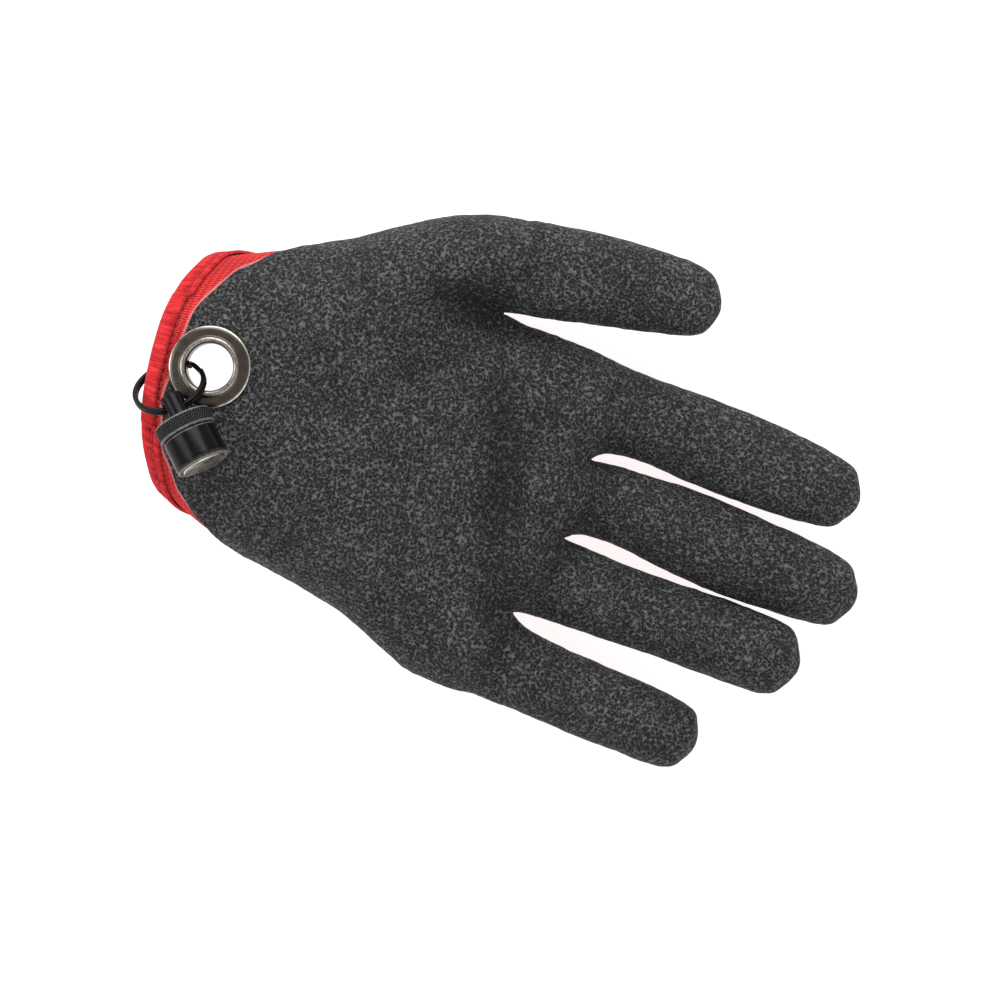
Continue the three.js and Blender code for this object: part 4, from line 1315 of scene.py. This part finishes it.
def drill(target, centre, axis, radius, half):
    """Cuts a round hole through a piece."""
    m = basis(axis)
    verts = []
    seg = 48
    for h in (-half, half):
        for i in range(seg):
            a = 2 * math.pi * i / seg
            verts.append(m @ np.array((radius * math.cos(a), radius * math.sin(a), h)) + centre)
    wall = [(i, (i + 1) % seg, seg + (i + 1) % seg, seg + i) for i in range(seg)]
    lids = [list(range(seg))[::-1], [seg + i for i in range(seg)]]
    cutter = make_mesh("cutter", np.array(verts), [np.array(wall), np.array(lids)])
    modifier = target.modifiers.new("drill", "BOOLEAN")
    modifier.operation = "DIFFERENCE"
    modifier.solver = "EXACT"
    modifier.object = cutter
    bpy.context.view_layer.update()
    depsgraph = bpy.context.evaluated_depsgraph_get()
    mesh = bpy.data.meshes.new_from_object(target.evaluated_get(depsgraph))
    target.modifiers.clear()
    target.data = mesh
    cut_mesh = cutter.data
    bpy.data.objects.remove(cutter)
    bpy.data.meshes.remove(cut_mesh)


drill(stem, cross_hole, ring_e, HOLE_RADIUS, 8)
finish_piece(stem, anodised, ["release_stem"])

cup_base = stem_base + release_axis * (SHANK + COLLAR + GAP)
ur = CUP_OD / 2
profile = [(0.0, 0.0)]
profile += rounded(
    [
        (0.0, 0.0),
        (ur, 0.0),
        (ur, CUP - 1.5),
        (ur - 0.1, CUP),
        (ur - 1.2, CUP),
        (ur - 1.2, CUP - 3.0),
        (0.0, CUP - 3.0),
    ],
    [0, 0.6, 0.1, 0.4, 0.25, 0, 0],
    5,
)[1:]


def cup_highlight(r, h):
    """Painted highlight along the two ends of the body."""
    end = min(h, abs(CUP - h))
    return 0.8 * float(ease((0.5 - end) / 0.35)) if r > ur - 1.3 else 0.0


cup = turned("release_body", profile, 160, cup_base, release_axis, None, cup_highlight)
smooth_by_angle(cup, 40)
finish_piece(cup, anodised, ["release_cup"])
magnet_base = cup_base + release_axis * (CUP - 3 + GAP)
mr = ur - 1.2 - GAP
profile = [(0.0, 0.0)] + rounded([(0.0, 0.0), (mr, 0.0), (mr, 2.9), (0.0, 2.9)], [0, 0, 0.35, 0], 5)[1:]
magnet = turned("release_magnet_face", profile, 128, magnet_base, release_axis)
smooth_by_angle(magnet, 40)
finish_piece(magnet, silver, ["release_magnet"])

# Floor, light and world
floor_mesh = bpy.data.meshes.new("floor")
floor_mesh.from_pydata([(-3, -3, 0), (3, -3, 0), (3, 3, 0), (-3, 3, 0)], [], [(0, 1, 2, 3)])
floor = bpy.data.objects.new("floor", floor_mesh)
link(floor)
floor_mat, tree, shader = new_material("pale_floor")
shader.inputs["Base Color"].default_value = (0.3, 0.3, 0.3, 1.0)
shader.inputs["Emission Color"].default_value = (1.0, 1.0, 1.0, 1.0)
shader.inputs["Emission Strength"].default_value = 0.88
shader.inputs["Roughness"].default_value = 0.9
shader.inputs["Specular IOR Level"].default_value = 0.1
floor_mesh.materials.append(floor_mat)

world = bpy.data.worlds.new("world")
bpy.context.scene.world = world
world.use_nodes = True
sky = world.node_tree.nodes["Background"].inputs
sky["Color"].default_value = (1.0, 1.0, 1.0, 1.0)
sky["Strength"].default_value = 0.72


def area_light(name, location, aim, size, power):
    data = bpy.data.lights.new(name, "AREA")
    data.shape = "RECTANGLE"
    data.size, data.size_y = size
    data.energy = power
    lamp = bpy.data.objects.new(name, data)
    lamp.location = location
    lamp.rotation_euler = (Vector(aim) - Vector(location)).to_track_quat("-Z", "Y").to_euler()
    link(lamp)


area_light("key", (-0.3, 0.95, 0.9), (0, 0, 0), (1.0, 0.8), 17.0)
area_light("fill", (0.6, -0.5, 1.0), (0, 0, 0), (1.0, 1.0), 5.0)
area_light("edge", (-0.9, -0.1, 0.5), (0, 0, 0), (0.3, 0.9), 4.0)
view = bpy.context.scene.view_settings
view.view_transform = "Standard"
view.look = "None"
